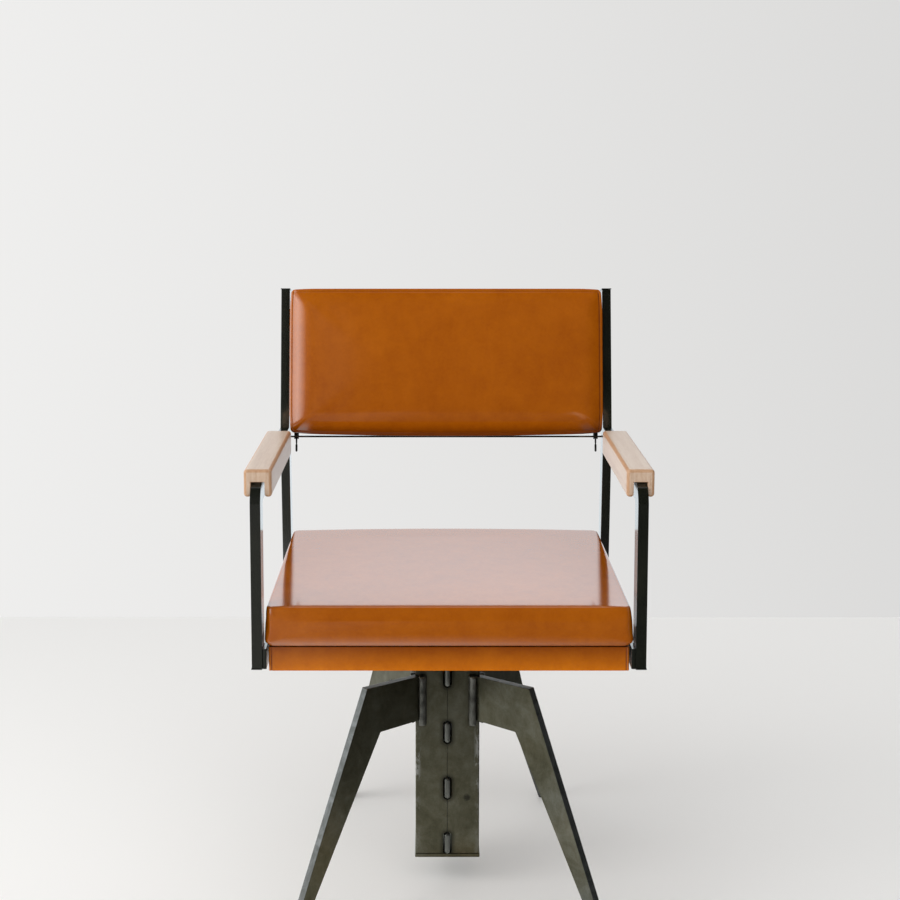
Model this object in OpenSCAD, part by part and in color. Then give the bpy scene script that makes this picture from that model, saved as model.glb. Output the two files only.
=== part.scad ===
// Swivel salon chair: two bent side frames of blackened rectangular tube carry a
// leather box seat, a leather back and grooved wooden armrests. The seat turns on
// a spindle in a square slotted column that stands on four tapered plate legs.
// The origin is on the floor, in the middle of the rectangle that the feet cover,
// with the front of the chair towards -Y.

/* [Side frames] */
// Outside width across the two side frames
frame_w = 565; // [500:5:640]
// Width of the rectangular tube, side to side
tube_w = 15; // [12:1:20]
// Depth of the rectangular tube, front to back
tube_d = 30; // [25:1:40]
// Wall of the rectangular tube
tube_wall = 2; // [1.5:0.25:3]
// Swivel axis to the front face of the front posts
post_front = 221.5; // [205:0.5:225]
// Height of the lower end of the posts
post_bottom_z = 416; // [405:1:440]
// Height of the top face of the arm tubes
arm_top_z = 687; // [650:1:720]
// Outer radius of the bend between front post and arm
arm_bend_r = 32; // [20:1:50]
// Fillet inside the bend between front post and arm
arm_inner_r = 6; // [3:1:15]
// Swivel axis to the front face of the rear posts at their lower end
rear_post_foot_y = 213; // [205:0.5:225]
// Swivel axis to the front face of the rear posts at their bend
rear_post_bend_y = 192.5; // [185:0.5:205]
// Height of the bend in the rear posts
rear_post_bend_z = 676; // [660:1:684]
// Angle of the reclined upper part of the rear posts
back_recline = 9.2; // [5:0.1:14]
// Length of the reclined upper part of the rear posts, with its cap
rear_post_upper_len = 249; // [230:1:290]
// Thickness of the end caps
cap_t = 2; // [1.5:0.5:3]
// How far the end caps stand proud of the tube
cap_lip = 0.8; // [0.2:0.1:1]

/* [Armrests] */
// Width of a wooden armrest
pad_w = 40; // [34:1:56]
// Height of a wooden armrest
pad_h = 40; // [32:1:50]
// Length of a wooden armrest
pad_len = 288; // [240:1:320]
// Front face of the posts to the front end of an armrest
pad_setback = 12; // [5:1:30]
// Wood left above the arm tube
pad_cover = 18; // [12:1:24]
// How much wider the groove of an armrest is than the arm tube in it
pad_groove_clearance = 5; // [2:0.5:7]
// Radius on the long edges of an armrest
pad_edge_r = 4; // [2:0.5:8]
// Ends of an armrest to its screws
pad_screw_inset = 60; // [40:1:90]
// Shank diameter of the armrest screws
pad_screw_d = 5; // [4:0.5:6]
// Depth of the armrest screws in the wood
pad_screw_depth = 10; // [6:1:14]

/* [Seat] */
// Gap between the seat cushion at its widest and the posts
seat_side_gap = 2.5; // [1:0.5:6]
// Depth of the seat cushion at its widest, front to back
seat_d = 428; // [380:1:430]
// Swivel axis to the front of the seat cushion
seat_front = 220; // [200:1:221]
// Thickness of the seat cushion at its edge
seat_t = 59; // [45:1:80]
// Rise of the seat cushion in its middle
seat_crown = 4; // [2:0.5:12]
// Corner radius of the seat cushion, seen from above
seat_corner_r = 10; // [9:1:30]
// How far the seat cushion draws in at its seams
seat_tuck = 8; // [4:0.5:14]
// Inset of the skirt from the widest line of the cushion, at front and rear
skirt_inset = 5.8; // [3:0.2:12]
// Gap between the skirt and the side rails
skirt_side_gap = 2.3; // [1:0.1:6]
// Height of the leather covered skirt below the cushion
skirt_h = 35; // [31:1:38]
// Corner radius of the skirt
skirt_corner_r = 3; // [1:0.5:6]
// Thickness of the skirt walls
skirt_wall = 12; // [8:1:18]
// Thickness of the plywood seat board
board_t = 11; // [8:1:11]
// Thickness of the side rails
rail_t = 6; // [3:0.5:6]
// Height of the side rails
rail_h = 30; // [20:1:31]
// Width of the cross tubes under the seat board
cross_w = 40; // [30:1:50]
// Height of the cross tubes
cross_h = 20; // [15:1:22]
// Wall of the cross tubes
cross_wall = 2.5; // [1.5:0.5:3]
// Swivel axis to the middle of each cross tube
cross_y = 85; // [75:1:110]
// Shank diameter of the seat board screws
board_screw_d = 5; // [4:0.5:6]
// Sides of the seat board to its screws
board_screw_inset = 56; // [35:1:90]

/* [Back] */
// Gap between the back cushion at its widest and the posts
back_side_gap = 4.5; // [2:0.5:8]
// Height of the back cushion along the posts
back_h = 247; // [210:1:248]
// Thickness of the back cushion at its edge
back_t = 33; // [20:1:45]
// Crown of the back cushion
back_crown = 5; // [2:0.5:12]
// Corner radius of the back cushion
back_corner_r = 12; // [6:1:25]
// How far the back cushion draws in at its rear seam
back_tuck = 4; // [2:0.5:8]
// Depth of the post behind which the back board starts
back_board_y = 11; // [8:0.5:12]
// Thickness of the plywood back board
back_board_t = 12; // [9:1:14]
// Thickness of the leather covered rear panel
back_panel_t = 2; // [1:0.5:3]
// Gap between the lower back rail and the back board
back_gap = 5; // [3:0.5:6]
// Thickness of the lower back rail
lower_rail_t = 3; // [2:0.5:6]
// Thickness of the upper back rail
upper_rail_t = 5; // [3:0.5:6]
// Height of the upper back rail
upper_rail_h = 30; // [20:1:40]
// Diameter of the studs under the back board
stud_d = 4; // [3:0.5:5]
// Length of the studs below the lower back rail
stud_tail = 25; // [10:1:30]
// Ends of the lower back rail to the studs
stud_inset = 11; // [9:0.5:30]

/* [Column] */
// Width of the square column
column_w = 100; // [90:1:120]
// Wall of the column
column_wall = 5; // [4:0.5:7]
// Corner radius of the column
column_corner_r = 2; // [1:0.5:4]
// Height of the underside of the column above the floor
column_bottom_z = 46; // [30:1:60]
// Height of the upper end of the column walls
column_top_z = 365; // [362:1:372]
// Thickness of the plate that closes the foot of the column
base_cap_t = 6; // [4:0.5:10]
// Overhang of the foot plate round the column
base_cap_over = 1; // [0.5:0.25:3]
// Thickness of the plate on top of the column
top_plate_t = 8; // [6:0.5:10]
// Thickness of the web plate inside the column
web_t = 8.5; // [6:0.5:10]
// Number of web tabs down each face of the column
tab_count = 4; // [2:1:4]
// Distance between web tabs
tab_pitch = 91; // [70:1:94]
// Length of a web tab
tab_h = 33; // [20:1:36]
// How far the web tabs stand proud of the column
tab_proud = 3; // [1:0.5:6]
// Length of a slot round a web tab
slot_h = 37.5; // [37:0.5:44]
// Width of a slot round a web tab
slot_w = 13.5; // [12:0.5:18]

/* [Legs] */
// Thickness of the leg plates
leg_t = 12; // [8:0.5:14]
// Angle of the front legs, outwards from straight sideways
front_leg_angle = 43; // [38:0.5:48]
// Angle of the rear legs, outwards from straight sideways
rear_leg_angle = 59; // [54:0.5:62]
// Height of the top edge of a leg at the column
leg_top_z = 342; // [320:1:350]
// Depth of a leg at the column
leg_root_depth = 71; // [55:1:85]
// Column corner to the shoulder of a leg
leg_shoulder = 103.5; // [95:0.5:130]
// Column corner to the knee of a leg
leg_knee = 77; // [55:1:85]
// Column corner to the outer tip of a foot
leg_foot = 253.4; // [235:0.2:280]
// Width of a leg at the floor
leg_tip_w = 17; // [14:0.5:40]
// Rise of the leg's top edge from the column to the shoulder
leg_rise = 7.5; // [0:0.5:15]
// Radius of the weld beads
weld_r = 6; // [4:0.5:7]
// Length of the weld beads below a leg
weld_tail = 7; // [2:0.5:10]
// Thickness of the foot pads
foot_pad_t = 3; // [2:0.5:6]

/* [Swivel] */
// Diameter of the spindle
spindle_d = 35; // [25:1:38]
// Running clearance of the spindle in its bushes, on the radius
spindle_clearance = 0.05; // [0.02:0.01:0.08]
// Outside diameter of the bushes
bush_d = 44; // [42:1:46]
// Thickness of the bush flanges
bush_flange_t = 3; // [2:0.5:4]
// Length of a bush in the housing
bush_len = 40; // [20:1:50]
// Outside diameter of the spindle housing
housing_d = 56; // [52:1:60]
// Length of the spindle housing below the column's top plate
housing_drop = 115; // [100:1:140]
// Height of the spindle housing above the column's top plate
housing_rise = 19; // [10:1:19]
// Thickness of the thrust washer
thrust_t = 3; // [2:0.5:4]
// Diameter of the spindle's boss
boss_d = 70; // [60:1:90]
// Width of the seat plate
seat_plate_w = 220; // [220:1:300]
// Thickness of the seat plate
seat_plate_t = 8; // [6:0.5:9]
// Diameter of the seat plate bolts
plate_bolt_d = 10; // [8:1:12]
// Diameter of the threaded end of the spindle
thread_d = 24; // [20:1:24]
// Thickness of the spindle nut
spindle_nut_t = 19; // [15:1:22]
// Thickness of the washer above the spindle nut
spindle_washer_t = 3; // [2:0.5:4]

/* [Hidden] */

// Fine enough that every round shape is a true one
$fn = 64;

// Colours, as the object shows them
steel = [0.21, 0.21, 0.19];
worn_steel = [0.42, 0.43, 0.42];
zinc = [0.62, 0.63, 0.64];
bronze = [0.62, 0.46, 0.24];
leather = [0.65, 0.34, 0.08];
beech = [0.85, 0.71, 0.57];
plywood = [0.78, 0.64, 0.45];
rubber = [0.09, 0.09, 0.09];

// Small values that several pieces share
over = 1;              // overrun of every cut past a face
soft_gap = 0.3;        // a cushion lies this far from what carries it
fit = 0.1;             // clearance of a screw or bolt in its hole, on the radius
press_fit = 0.02;      // clearance of a bush in its housing, on the radius
bolt_proud = 1;        // bolt ends stand this far past their nuts
screw_short = 1;       // seat board screws stop this far below the board's top
seam = 0.4;            // open seam between the two halves of the column
thrust_gap = 0.1;      // running gap under the spindle's boss
rail_setback = 2;      // front face of the posts to the front end of a rail
notch_clearance = 0.5; // skirt notch round a cross tube
board_clearance = 0.5; // seat board inside the skirt

// Screws and nuts in shares of their own diameters
pan_head_d_share = 2;
pan_head_t_share = 0.6;
hex_flats_share = 1.7;
hex_nut_t_share = 0.8;
hex_head_t_share = 0.64;
stud_nut_flats_share = 1.75;
bolt_head_hole_share = 2.4;

// How far the weld beads stand off the corner, as a share of their radius
weld_out_share = 0.2;

// Places that follow from the sizes above
half_w = frame_w / 2;
post_inner_x = half_w - tube_w;
post_mid_x = half_w - tube_w / 2;
rail_inner_x = post_inner_x - rail_t;
seat_w = 2 * (post_inner_x - seat_side_gap);
back_w = 2 * (post_inner_x - back_side_gap);
arm_under_z = arm_top_z - tube_d;
half_column = column_w / 2;
column_inner = half_column - column_wall;
column_foot_z = column_bottom_z + base_cap_t;

// Seat stack, from the top plate of the column upwards
top_plate_z = column_top_z + top_plate_t;
housing_top_z = top_plate_z + housing_rise;
housing_foot_z = top_plate_z - housing_drop;
thrust_z = housing_top_z + bush_flange_t;
boss_z = thrust_z + thrust_t + thrust_gap;
seat_plate_z = post_bottom_z - seat_plate_t;
cross_z = post_bottom_z;
board_z = cross_z + cross_h;
skirt_top_z = board_z + board_t;
skirt_bottom_z = skirt_top_z - skirt_h;
cushion_z = skirt_top_z + soft_gap;
shoulder_z = housing_foot_z - bush_flange_t - thrust_gap;
spindle_nut_z = shoulder_z - spindle_washer_t - spindle_nut_t;
thread_end_z = spindle_nut_z - spindle_nut_t / 3;
spindle_nut_flats = thread_d * 1.5;
spindle_washer_d = bush_d + bush_flange_t;
web_notch_z = thread_end_z - spindle_nut_t / 2;

// Web tabs, from the lowest upwards
tab_low_z = column_foot_z + tab_h / 2;

// Feet, and the swivel axis over the middle of the rectangle that they cover
function foot_corner_y(angle, reach) =
    half_column + reach * sin(angle) + leg_t / 2 * cos(angle);
front_foot_y = foot_corner_y(front_leg_angle, leg_foot);
rear_foot_y = foot_corner_y(rear_leg_angle, leg_foot);
axis_y = (front_foot_y - rear_foot_y) / 2;
foot_pad_inset = leg_tip_w / 10;
echo(axis_y = axis_y, front_foot_y = front_foot_y, rear_foot_y = rear_foot_y);

// Moves a piece that is drawn round the swivel axis to its place over the feet
module on_axis() {
    translate([0, axis_y, 0]) children();
}

// The same piece on both sides of the chair
module both_sides() {
    children();
    mirror([1, 0, 0]) children();
}

// Draws a side view, given as Y and Z, and gives it a thickness along X
module side_plate(x, thickness) {
    translate([x, 0, 0])
        rotate([90, 0, 90])
            linear_extrude(thickness) children();
}

// A square with rounded corners, centred
module rounded_square(w, d, r) {
    square([w - 2 * r, d], center = true);
    square([w, d - 2 * r], center = true);
    for (x = [-1, 1], y = [-1, 1])
        translate([x * (w / 2 - r), y * (d / 2 - r)]) circle(r);
}

// A hexagon by its width across flats
module hexagon(flats) {
    circle(d = flats / cos(30), $fn = 6);
}

// Screws point along +Z, with the underside of the head at zero
module pan_screw(d, length) {
    translate([0, 0, -pan_head_t_share * d]) cylinder(h = pan_head_t_share * d, d = pan_head_d_share * d);
    cylinder(h = length, d = d);
}

// Column

module column_section() {
    difference() {
        rounded_square(column_w, column_w, column_corner_r);
        square(2 * column_inner, center = true);
    }
}

module tab_stadium(w, h) {
    square([w, h - w], center = true);
    for (s = [-1, 1]) translate([0, s * (h - w) / 2]) circle(d = w);
}

// Stadium bars along Y, through both faces, at every tab
module tab_row(w, h, reach) {
    for (i = [0:tab_count - 1])
        translate([0, reach, tab_low_z + i * tab_pitch])
            rotate([90, 0, 0]) linear_extrude(2 * reach) tab_stadium(w, h);
}

module column_half(side) {
    on_axis() difference() {
        translate([0, 0, column_foot_z])
            linear_extrude(column_top_z - column_foot_z) intersection() {
                column_section();
                translate([side > 0 ? seam / 2 : -half_column, -half_column])
                    square([half_column - seam / 2, column_w]);
            }
        tab_row(slot_w, slot_h, half_column + over);
    }
}

module column_left() {
    color(steel) column_half(-1);
}

module column_right() {
    color(steel) column_half(1);
}

module column_web() {
    color(worn_steel) on_axis() difference() {
        union() {
            translate([-web_t / 2, -column_inner, column_foot_z])
                cube([web_t, 2 * column_inner, column_top_z - column_foot_z]);
            tab_row(web_t, tab_h, half_column + tab_proud);
        }
        translate([-web_t / 2 - over, -housing_d / 2, web_notch_z])
            cube([web_t + 2 * over, housing_d, column_top_z - web_notch_z + over]);
    }
}

module column_top_plate() {
    color(steel) on_axis() translate([0, 0, column_top_z])
        linear_extrude(top_plate_t) difference() {
            rounded_square(column_w, column_w, column_corner_r);
            circle(d = housing_d);
        }
}

module column_base_cap() {
    color(steel) on_axis() translate([0, 0, column_bottom_z])
        linear_extrude(base_cap_t)
            rounded_square(column_w + 2 * base_cap_over, column_w + 2 * base_cap_over, column_corner_r);
}

// Legs: one bent plate outline, reach along X and height along Y

leg_root_z = leg_top_z - leg_root_depth;
leg_outline = [
    [-leg_t, leg_root_z],
    [0, leg_root_z],
    [leg_knee, leg_root_z + leg_rise / 2],
    [leg_foot - leg_tip_w, foot_pad_t],
    [leg_foot, foot_pad_t],
    [leg_shoulder, leg_top_z + leg_rise],
    [0, leg_top_z],
    [-leg_t, leg_top_z]
];

// Puts what is drawn along +X from a column corner at a leg's place
module at_leg(front, left) {
    on_axis()
        mirror([left ? 1 : 0, 0, 0])
            mirror([0, front ? 1 : 0, 0])
                translate([half_column, half_column, 0])
                    rotate([0, 0, front ? front_leg_angle : rear_leg_angle]) children();
}

module leg_plate(front, left) {
    at_leg(front, left)
        translate([0, leg_t / 2, 0])
            rotate([90, 0, 0]) linear_extrude(leg_t) polygon(leg_outline);
}

module leg(front, left) {
    color(steel) difference() {
        leg_plate(front, left);
        on_axis() translate([-half_column, -half_column, leg_root_z - over])
            cube([column_w, column_w, leg_root_depth + 2 * over]);
    }
}

module leg_front_left() {
    leg(true, true);
}

module leg_front_right() {
    leg(true, false);
}

module leg_rear_left() {
    leg(false, true);
}

module leg_rear_right() {
    leg(false, false);
}

// Plan of a leg's two beads, which stand where the faces of its plate meet the
// faces of the column
module bead_section(angle) {
    out = weld_out_share * weld_r;
    difference() {
        union() {
            translate([half_column - leg_t / 2 / sin(angle) - out, half_column + out]) circle(weld_r);
            translate([half_column + out, half_column - leg_t / 2 / cos(angle) - out]) circle(weld_r);
        }
        square(column_w, center = true);
        translate([half_column, half_column])
            rotate(angle) translate([-leg_t, -leg_t / 2]) square([column_w, leg_t]);
    }
}

module leg_beads(front, left) {
    on_axis()
        mirror([left ? 1 : 0, 0, 0])
            mirror([0, front ? 1 : 0, 0])
                translate([0, 0, leg_root_z - weld_tail])
                    linear_extrude(leg_root_depth + weld_tail)
                        bead_section(front ? front_leg_angle : rear_leg_angle);
}

module leg_welds() {
    color(worn_steel)
        for (front = [true, false], left = [true, false]) leg_beads(front, left);
}

module foot_pads() {
    color(rubber)
        for (front = [true, false], left = [true, false])
            at_leg(front, left)
                translate([leg_foot - leg_tip_w + foot_pad_inset, -leg_t / 2, 0])
                    cube([leg_tip_w - foot_pad_inset, leg_t, foot_pad_t]);
}

// Swivel bearing

module ring(z, height, outer_d, inner_d) {
    translate([0, 0, z]) linear_extrude(height) difference() {
        circle(d = outer_d);
        circle(d = inner_d);
    }
}

module spindle_housing() {
    color(steel) on_axis()
        ring(housing_foot_z, housing_drop + housing_rise, housing_d, bush_d);
}

bush_bore_d = spindle_d + 2 * spindle_clearance;

module bush_upper() {
    color(bronze) on_axis() {
        ring(housing_top_z - bush_len, bush_len, bush_d - 2 * press_fit, bush_bore_d);
        ring(housing_top_z, bush_flange_t, housing_d, bush_bore_d);
    }
}

module bush_lower() {
    color(bronze) on_axis() {
        ring(housing_foot_z, bush_len, bush_d - 2 * press_fit, bush_bore_d);
        ring(housing_foot_z - bush_flange_t, bush_flange_t, bush_d + bush_flange_t, bush_bore_d);
    }
}

module thrust_washer() {
    color(zinc) on_axis() ring(thrust_z, thrust_t, housing_d, bush_bore_d);
}

module spindle() {
    color(zinc) on_axis() {
        translate([0, 0, boss_z]) cylinder(h = seat_plate_z - boss_z, d = boss_d);
        translate([0, 0, shoulder_z]) cylinder(h = boss_z - shoulder_z, d = spindle_d);
        translate([0, 0, thread_end_z]) cylinder(h = shoulder_z - thread_end_z, d = thread_d);
    }
}

module spindle_washer() {
    color(zinc) on_axis()
        ring(shoulder_z - spindle_washer_t, spindle_washer_t, spindle_washer_d, thread_d + 2 * fit);
}

module spindle_nut() {
    color(zinc) on_axis() translate([0, 0, spindle_nut_z])
        linear_extrude(spindle_nut_t) difference() {
            hexagon(spindle_nut_flats);
            circle(d = thread_d + 2 * fit);
        }
}

// Seat frame

module plate_bolt_places() {
    for (x = [-1, 1], y = [-1, 1]) translate([x * cross_y, y * cross_y, 0]) children();
}

module board_screw_places() {
    for (x = [-1, 1], y = [-1, 1])
        translate([x * (seat_board_w / 2 - board_screw_inset), y * cross_y, 0]) children();
}

module seat_plate() {
    color(steel) on_axis() difference() {
        translate([-seat_plate_w / 2, -seat_plate_w / 2, seat_plate_z])
            cube([seat_plate_w, seat_plate_w, seat_plate_t]);
        plate_bolt_places() translate([0, 0, seat_plate_z - over])
            cylinder(h = seat_plate_t + 2 * over, d = plate_bolt_d + 2 * fit);
    }
}

plate_nut_t = hex_nut_t_share * plate_bolt_d;
plate_head_t = hex_head_t_share * plate_bolt_d;

module seat_plate_bolts() {
    color(zinc) on_axis() plate_bolt_places() {
        translate([0, 0, board_z]) linear_extrude(plate_head_t) hexagon(hex_flats_share * plate_bolt_d);
        translate([0, 0, seat_plate_z - plate_nut_t - bolt_proud])
            cylinder(h = board_z - seat_plate_z + plate_nut_t + bolt_proud, d = plate_bolt_d);
    }
}

module seat_plate_nuts() {
    color(zinc) on_axis() plate_bolt_places() translate([0, 0, seat_plate_z - plate_nut_t])
        linear_extrude(plate_nut_t) difference() {
            hexagon(hex_flats_share * plate_bolt_d);
            circle(d = plate_bolt_d + 2 * fit);
        }
}

module cross_tube(side) {
    color(steel) on_axis() difference() {
        translate([-rail_inner_x, side * cross_y - cross_w / 2, cross_z])
            cube([2 * rail_inner_x, cross_w, cross_h]);
        translate([-rail_inner_x - over, side * cross_y - cross_w / 2 + cross_wall, cross_z + cross_wall])
            cube([2 * (rail_inner_x + over), cross_w - 2 * cross_wall, cross_h - 2 * cross_wall]);
        plate_bolt_places() translate([0, 0, cross_z - over])
            cylinder(h = cross_h + 2 * over, d = plate_bolt_d + 2 * fit);
        board_screw_places() translate([0, 0, cross_z - over])
            cylinder(h = cross_h + 2 * over, d = board_screw_d + 2 * fit);
    }
}

module cross_tube_front() {
    cross_tube(-1);
}

module cross_tube_rear() {
    cross_tube(1);
}

rail_rear_y = rear_post_foot_y + tube_d - 2 * rail_setback;

module side_rail_right() {
    color(steel) on_axis()
        translate([rail_inner_x, -post_front + rail_setback, post_bottom_z])
            cube([rail_t, post_front - rail_setback + rail_rear_y, rail_h]);
}

module side_rail_left() {
    mirror([1, 0, 0]) side_rail_right();
}

// Side frames

// Side view of the bent front post and arm, drawn in by inset, ends run past by extra
module arm_outline(inset, extra) {
    foot = post_bottom_z + cap_t - extra;
    reach = post_front + rear_post_foot_y;
    bend_y = -post_front + arm_bend_r;
    bend_z = arm_top_z - arm_bend_r;
    inner_y = -post_front + tube_d - inset;
    inner_z = arm_under_z + inset;
    fillet_y = -post_front + tube_d + arm_inner_r;
    fillet_z = arm_under_z - arm_inner_r;
    difference() {
        union() {
            translate([-post_front + inset, foot]) square([arm_bend_r, bend_z - foot]);
            translate([bend_y, foot]) square([reach - arm_bend_r, arm_top_z - inset - foot]);
            translate([bend_y, bend_z]) circle(arm_bend_r - inset);
        }
        translate([inner_y, foot - over]) square([reach, fillet_z - foot + over]);
        translate([fillet_y, foot - over]) square([reach, inner_z - foot + over]);
        translate([fillet_y, fillet_z]) circle(arm_inner_r + inset);
    }
}

// Front face of a rear post: foot, bend and top, each as Y and Z
post_foot = [rear_post_foot_y, post_bottom_z + cap_t];
post_bend = [rear_post_bend_y, rear_post_bend_z];
lower_run = post_bend - post_foot;
lower_dir = lower_run / norm(lower_run);
lower_normal = [lower_dir[1], -lower_dir[0]];
upper_dir = [sin(back_recline), cos(back_recline)];
upper_normal = [upper_dir[1], -upper_dir[0]];
bend_normal = (lower_normal + upper_normal) / (1 + lower_normal * upper_normal);

// The line at one depth behind the front face, with its ends run past by extra
function post_foot_point(depth, extra) =
    let (slide = (-extra - depth * lower_normal[1]) / lower_dir[1])
    post_foot + depth * lower_normal + slide * lower_dir;
function post_line(depth, extra) = [
    post_foot_point(depth, extra),
    post_bend + depth * bend_normal,
    post_bend + depth * upper_normal + (rear_post_upper_len - cap_t + extra) * upper_dir
];

module rear_post_outline(inset, extra) {
    front_line = post_line(inset, extra);
    back_line = post_line(tube_d - inset, extra);
    polygon([front_line[0], front_line[1], front_line[2], back_line[2], back_line[1], back_line[0]]);
}

module pad_screw_places() {
    for (y = [-post_front + pad_setback + pad_screw_inset,
              -post_front + pad_setback + pad_len - pad_screw_inset])
        translate([post_mid_x, y, arm_under_z]) children();
}

module arm_frame_right() {
    color(steel) on_axis() difference() {
        side_plate(post_inner_x, tube_w) difference() {
            arm_outline(0, 0);
            rear_post_outline(0, 0);
        }
        side_plate(post_inner_x + tube_wall, tube_w - 2 * tube_wall) arm_outline(tube_wall, over);
        pad_screw_places() translate([0, 0, -over])
            cylinder(h = tube_d + 2 * over, d = pad_screw_d + 2 * fit);
    }
}

module arm_frame_left() {
    mirror([1, 0, 0]) arm_frame_right();
}

module rear_post_right() {
    color(steel) on_axis() difference() {
        side_plate(post_inner_x, tube_w) rear_post_outline(0, 0);
        side_plate(post_inner_x + tube_wall, tube_w - 2 * tube_wall) rear_post_outline(tube_wall, over);
    }
}

module rear_post_left() {
    mirror([1, 0, 0]) rear_post_right();
}

// Puts what is drawn on the reclined part of the back at its place:
// X sideways, Y backwards from the front face of the posts, Z up along the posts
module on_back() {
    on_axis() translate([0, post_bend[0], post_bend[1]])
        rotate([-back_recline, 0, 0]) children();
}

module post_top_caps() {
    color(steel) on_back() both_sides()
        translate([post_inner_x - cap_lip, -cap_lip, rear_post_upper_len - cap_t])
            cube([tube_w + 2 * cap_lip, tube_d + 2 * cap_lip, cap_t]);
}

module post_bottom_caps() {
    rear_foot_d = tube_d / lower_normal[0];
    color(steel) on_axis() both_sides() {
        translate([post_inner_x, -post_front - cap_lip, post_bottom_z])
            cube([tube_w + cap_lip, tube_d + 2 * cap_lip, cap_t]);
        translate([post_inner_x, rear_post_foot_y - cap_lip, post_bottom_z])
            cube([tube_w + cap_lip, rear_foot_d + 2 * cap_lip, cap_t]);
    }
}

// Armrests

pad_groove_w = tube_w + pad_groove_clearance;
pad_mid_x = half_w - pad_groove_w / 2;
pad_bottom_z = arm_top_z + pad_cover - pad_h;

module armrest_right() {
    color(beech) on_axis() difference() {
        translate([pad_mid_x, -post_front + pad_setback + pad_len, pad_bottom_z + pad_h / 2])
            rotate([90, 0, 0]) linear_extrude(pad_len) difference() {
                rounded_square(pad_w, pad_h, pad_edge_r);
                translate([-pad_groove_w / 2, -pad_h / 2 - over])
                    square([pad_groove_w, pad_h - pad_cover + over]);
            }
        pad_screw_places() translate([0, 0, tube_d - over])
            cylinder(h = pad_screw_depth + over + fit, d = pad_screw_d + 2 * fit);
    }
}

module armrest_left() {
    mirror([1, 0, 0]) armrest_right();
}

module armrest_screws() {
    color(zinc) on_axis() both_sides()
        pad_screw_places() pan_screw(pad_screw_d, tube_d + pad_screw_depth);
}

// Seat

skirt_w = 2 * (rail_inner_x - skirt_side_gap);
skirt_front_y = -seat_front + skirt_inset;
skirt_d = seat_d - 2 * skirt_inset;
skirt_mid_y = skirt_front_y + skirt_d / 2;
seat_board_w = skirt_w - 2 * skirt_wall - 2 * board_clearance;
seat_board_d = skirt_d - 2 * skirt_wall - 2 * board_clearance;

module seat_skirt() {
    color(leather) on_axis() difference() {
        translate([0, skirt_mid_y, skirt_bottom_z]) linear_extrude(skirt_h) difference() {
            rounded_square(skirt_w, skirt_d, skirt_corner_r);
            square([skirt_w - 2 * skirt_wall, skirt_d - 2 * skirt_wall], center = true);
        }
        for (side = [-1, 1])
            translate([-half_w, side * cross_y - cross_w / 2 - notch_clearance, skirt_bottom_z - over])
                cube([frame_w, cross_w + 2 * notch_clearance, board_z - skirt_bottom_z + over]);
    }
}

module seat_board() {
    color(plywood) on_axis() difference() {
        translate([-seat_board_w / 2, skirt_mid_y - seat_board_d / 2, board_z])
            cube([seat_board_w, seat_board_d, board_t]);
        plate_bolt_places() translate([0, 0, board_z - over])
            cylinder(h = board_t + 2 * over, d = bolt_head_hole_share * plate_bolt_d);
        board_screw_places() translate([0, 0, board_z - over])
            cylinder(h = board_t + 2 * over, d = board_screw_d + 2 * fit);
    }
}

module seat_board_screws() {
    color(zinc) on_axis() board_screw_places() translate([0, 0, cross_z])
        pan_screw(board_screw_d, cross_h + board_t - screw_short);
}

// Cushions: closed rings of points from a flat underside up the sides and over a
// crown. An outline has straight sides and rounded corners, and is drawn in by inset.

side_steps = 7;
corner_steps = 4;

function outline_corner(hx, hy, r, q) =
    let (sx = (q == 0 || q == 3) ? 1 : -1, sy = q < 2 ? 1 : -1)
    [for (i = [0:corner_steps])
        let (a = 90 * (q + i / corner_steps))
        [sx * (hx - r) + r * cos(a), sy * (hy - r) + r * sin(a)]];

function between(a, b, steps) = [for (i = [1:steps - 1]) a + (b - a) * i / steps];

// Corners and the straight runs between them, anticlockwise from +X
function outline_points(hx, hy, r) =
    let (c = [for (q = [0:3]) outline_corner(hx, hy, r, q)])
    [for (q = [0:3]) each concat(c[q], between(c[q][corner_steps], c[(q + 1) % 4][0], side_steps))];

function ring_at(hx, hy, r, inset, z) =
    [for (p = outline_points(hx - inset, hy - inset, r)) [p[0], p[1], z]];

// A ring of the crown: share 1 is the edge of the top and 0 is its middle
function crown_ring(hx, hy, r, z, crown, share) =
    [for (p = outline_points(hx * share, hy * share, r * share))
        [p[0], p[1], z + crown * (1 - pow(p[0] / hx, 2)) * (1 - pow(p[1] / hy, 2))]];

// side_shares: pairs of height, as a share of t, and draw-in, as a share of tuck
module padded_form(w, d, t, r, tuck, crown, side_shares, crown_shares) {
    edge = tuck * side_shares[len(side_shares) - 1][1];
    top_hx = w / 2 - edge;
    top_hy = d / 2 - edge;
    rings = concat(
        [for (s = side_shares) ring_at(w / 2, d / 2, r, tuck * s[1], t * s[0])],
        [for (s = crown_shares) crown_ring(top_hx, top_hy, r, t, crown, s)]
    );
    n = len(rings[0]);
    last = len(rings) - 1;
    points = concat([for (ring = rings) each ring], [[0, 0, 0], [0, 0, t + crown]]);
    bottom = (last + 1) * n;
    top = bottom + 1;
    faces = concat(
        [for (k = [0:last - 1], i = [0:n - 1])
            [k * n + i, (k + 1) * n + i, (k + 1) * n + (i + 1) % n]],
        [for (k = [0:last - 1], i = [0:n - 1])
            [k * n + i, (k + 1) * n + (i + 1) % n, k * n + (i + 1) % n]],
        [for (i = [0:n - 1]) [bottom, i, (i + 1) % n]],
        [for (i = [0:n - 1]) [top, last * n + (i + 1) % n, last * n + i]]
    );
    polyhedron(points, faces, convexity = 4);
}

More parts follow.
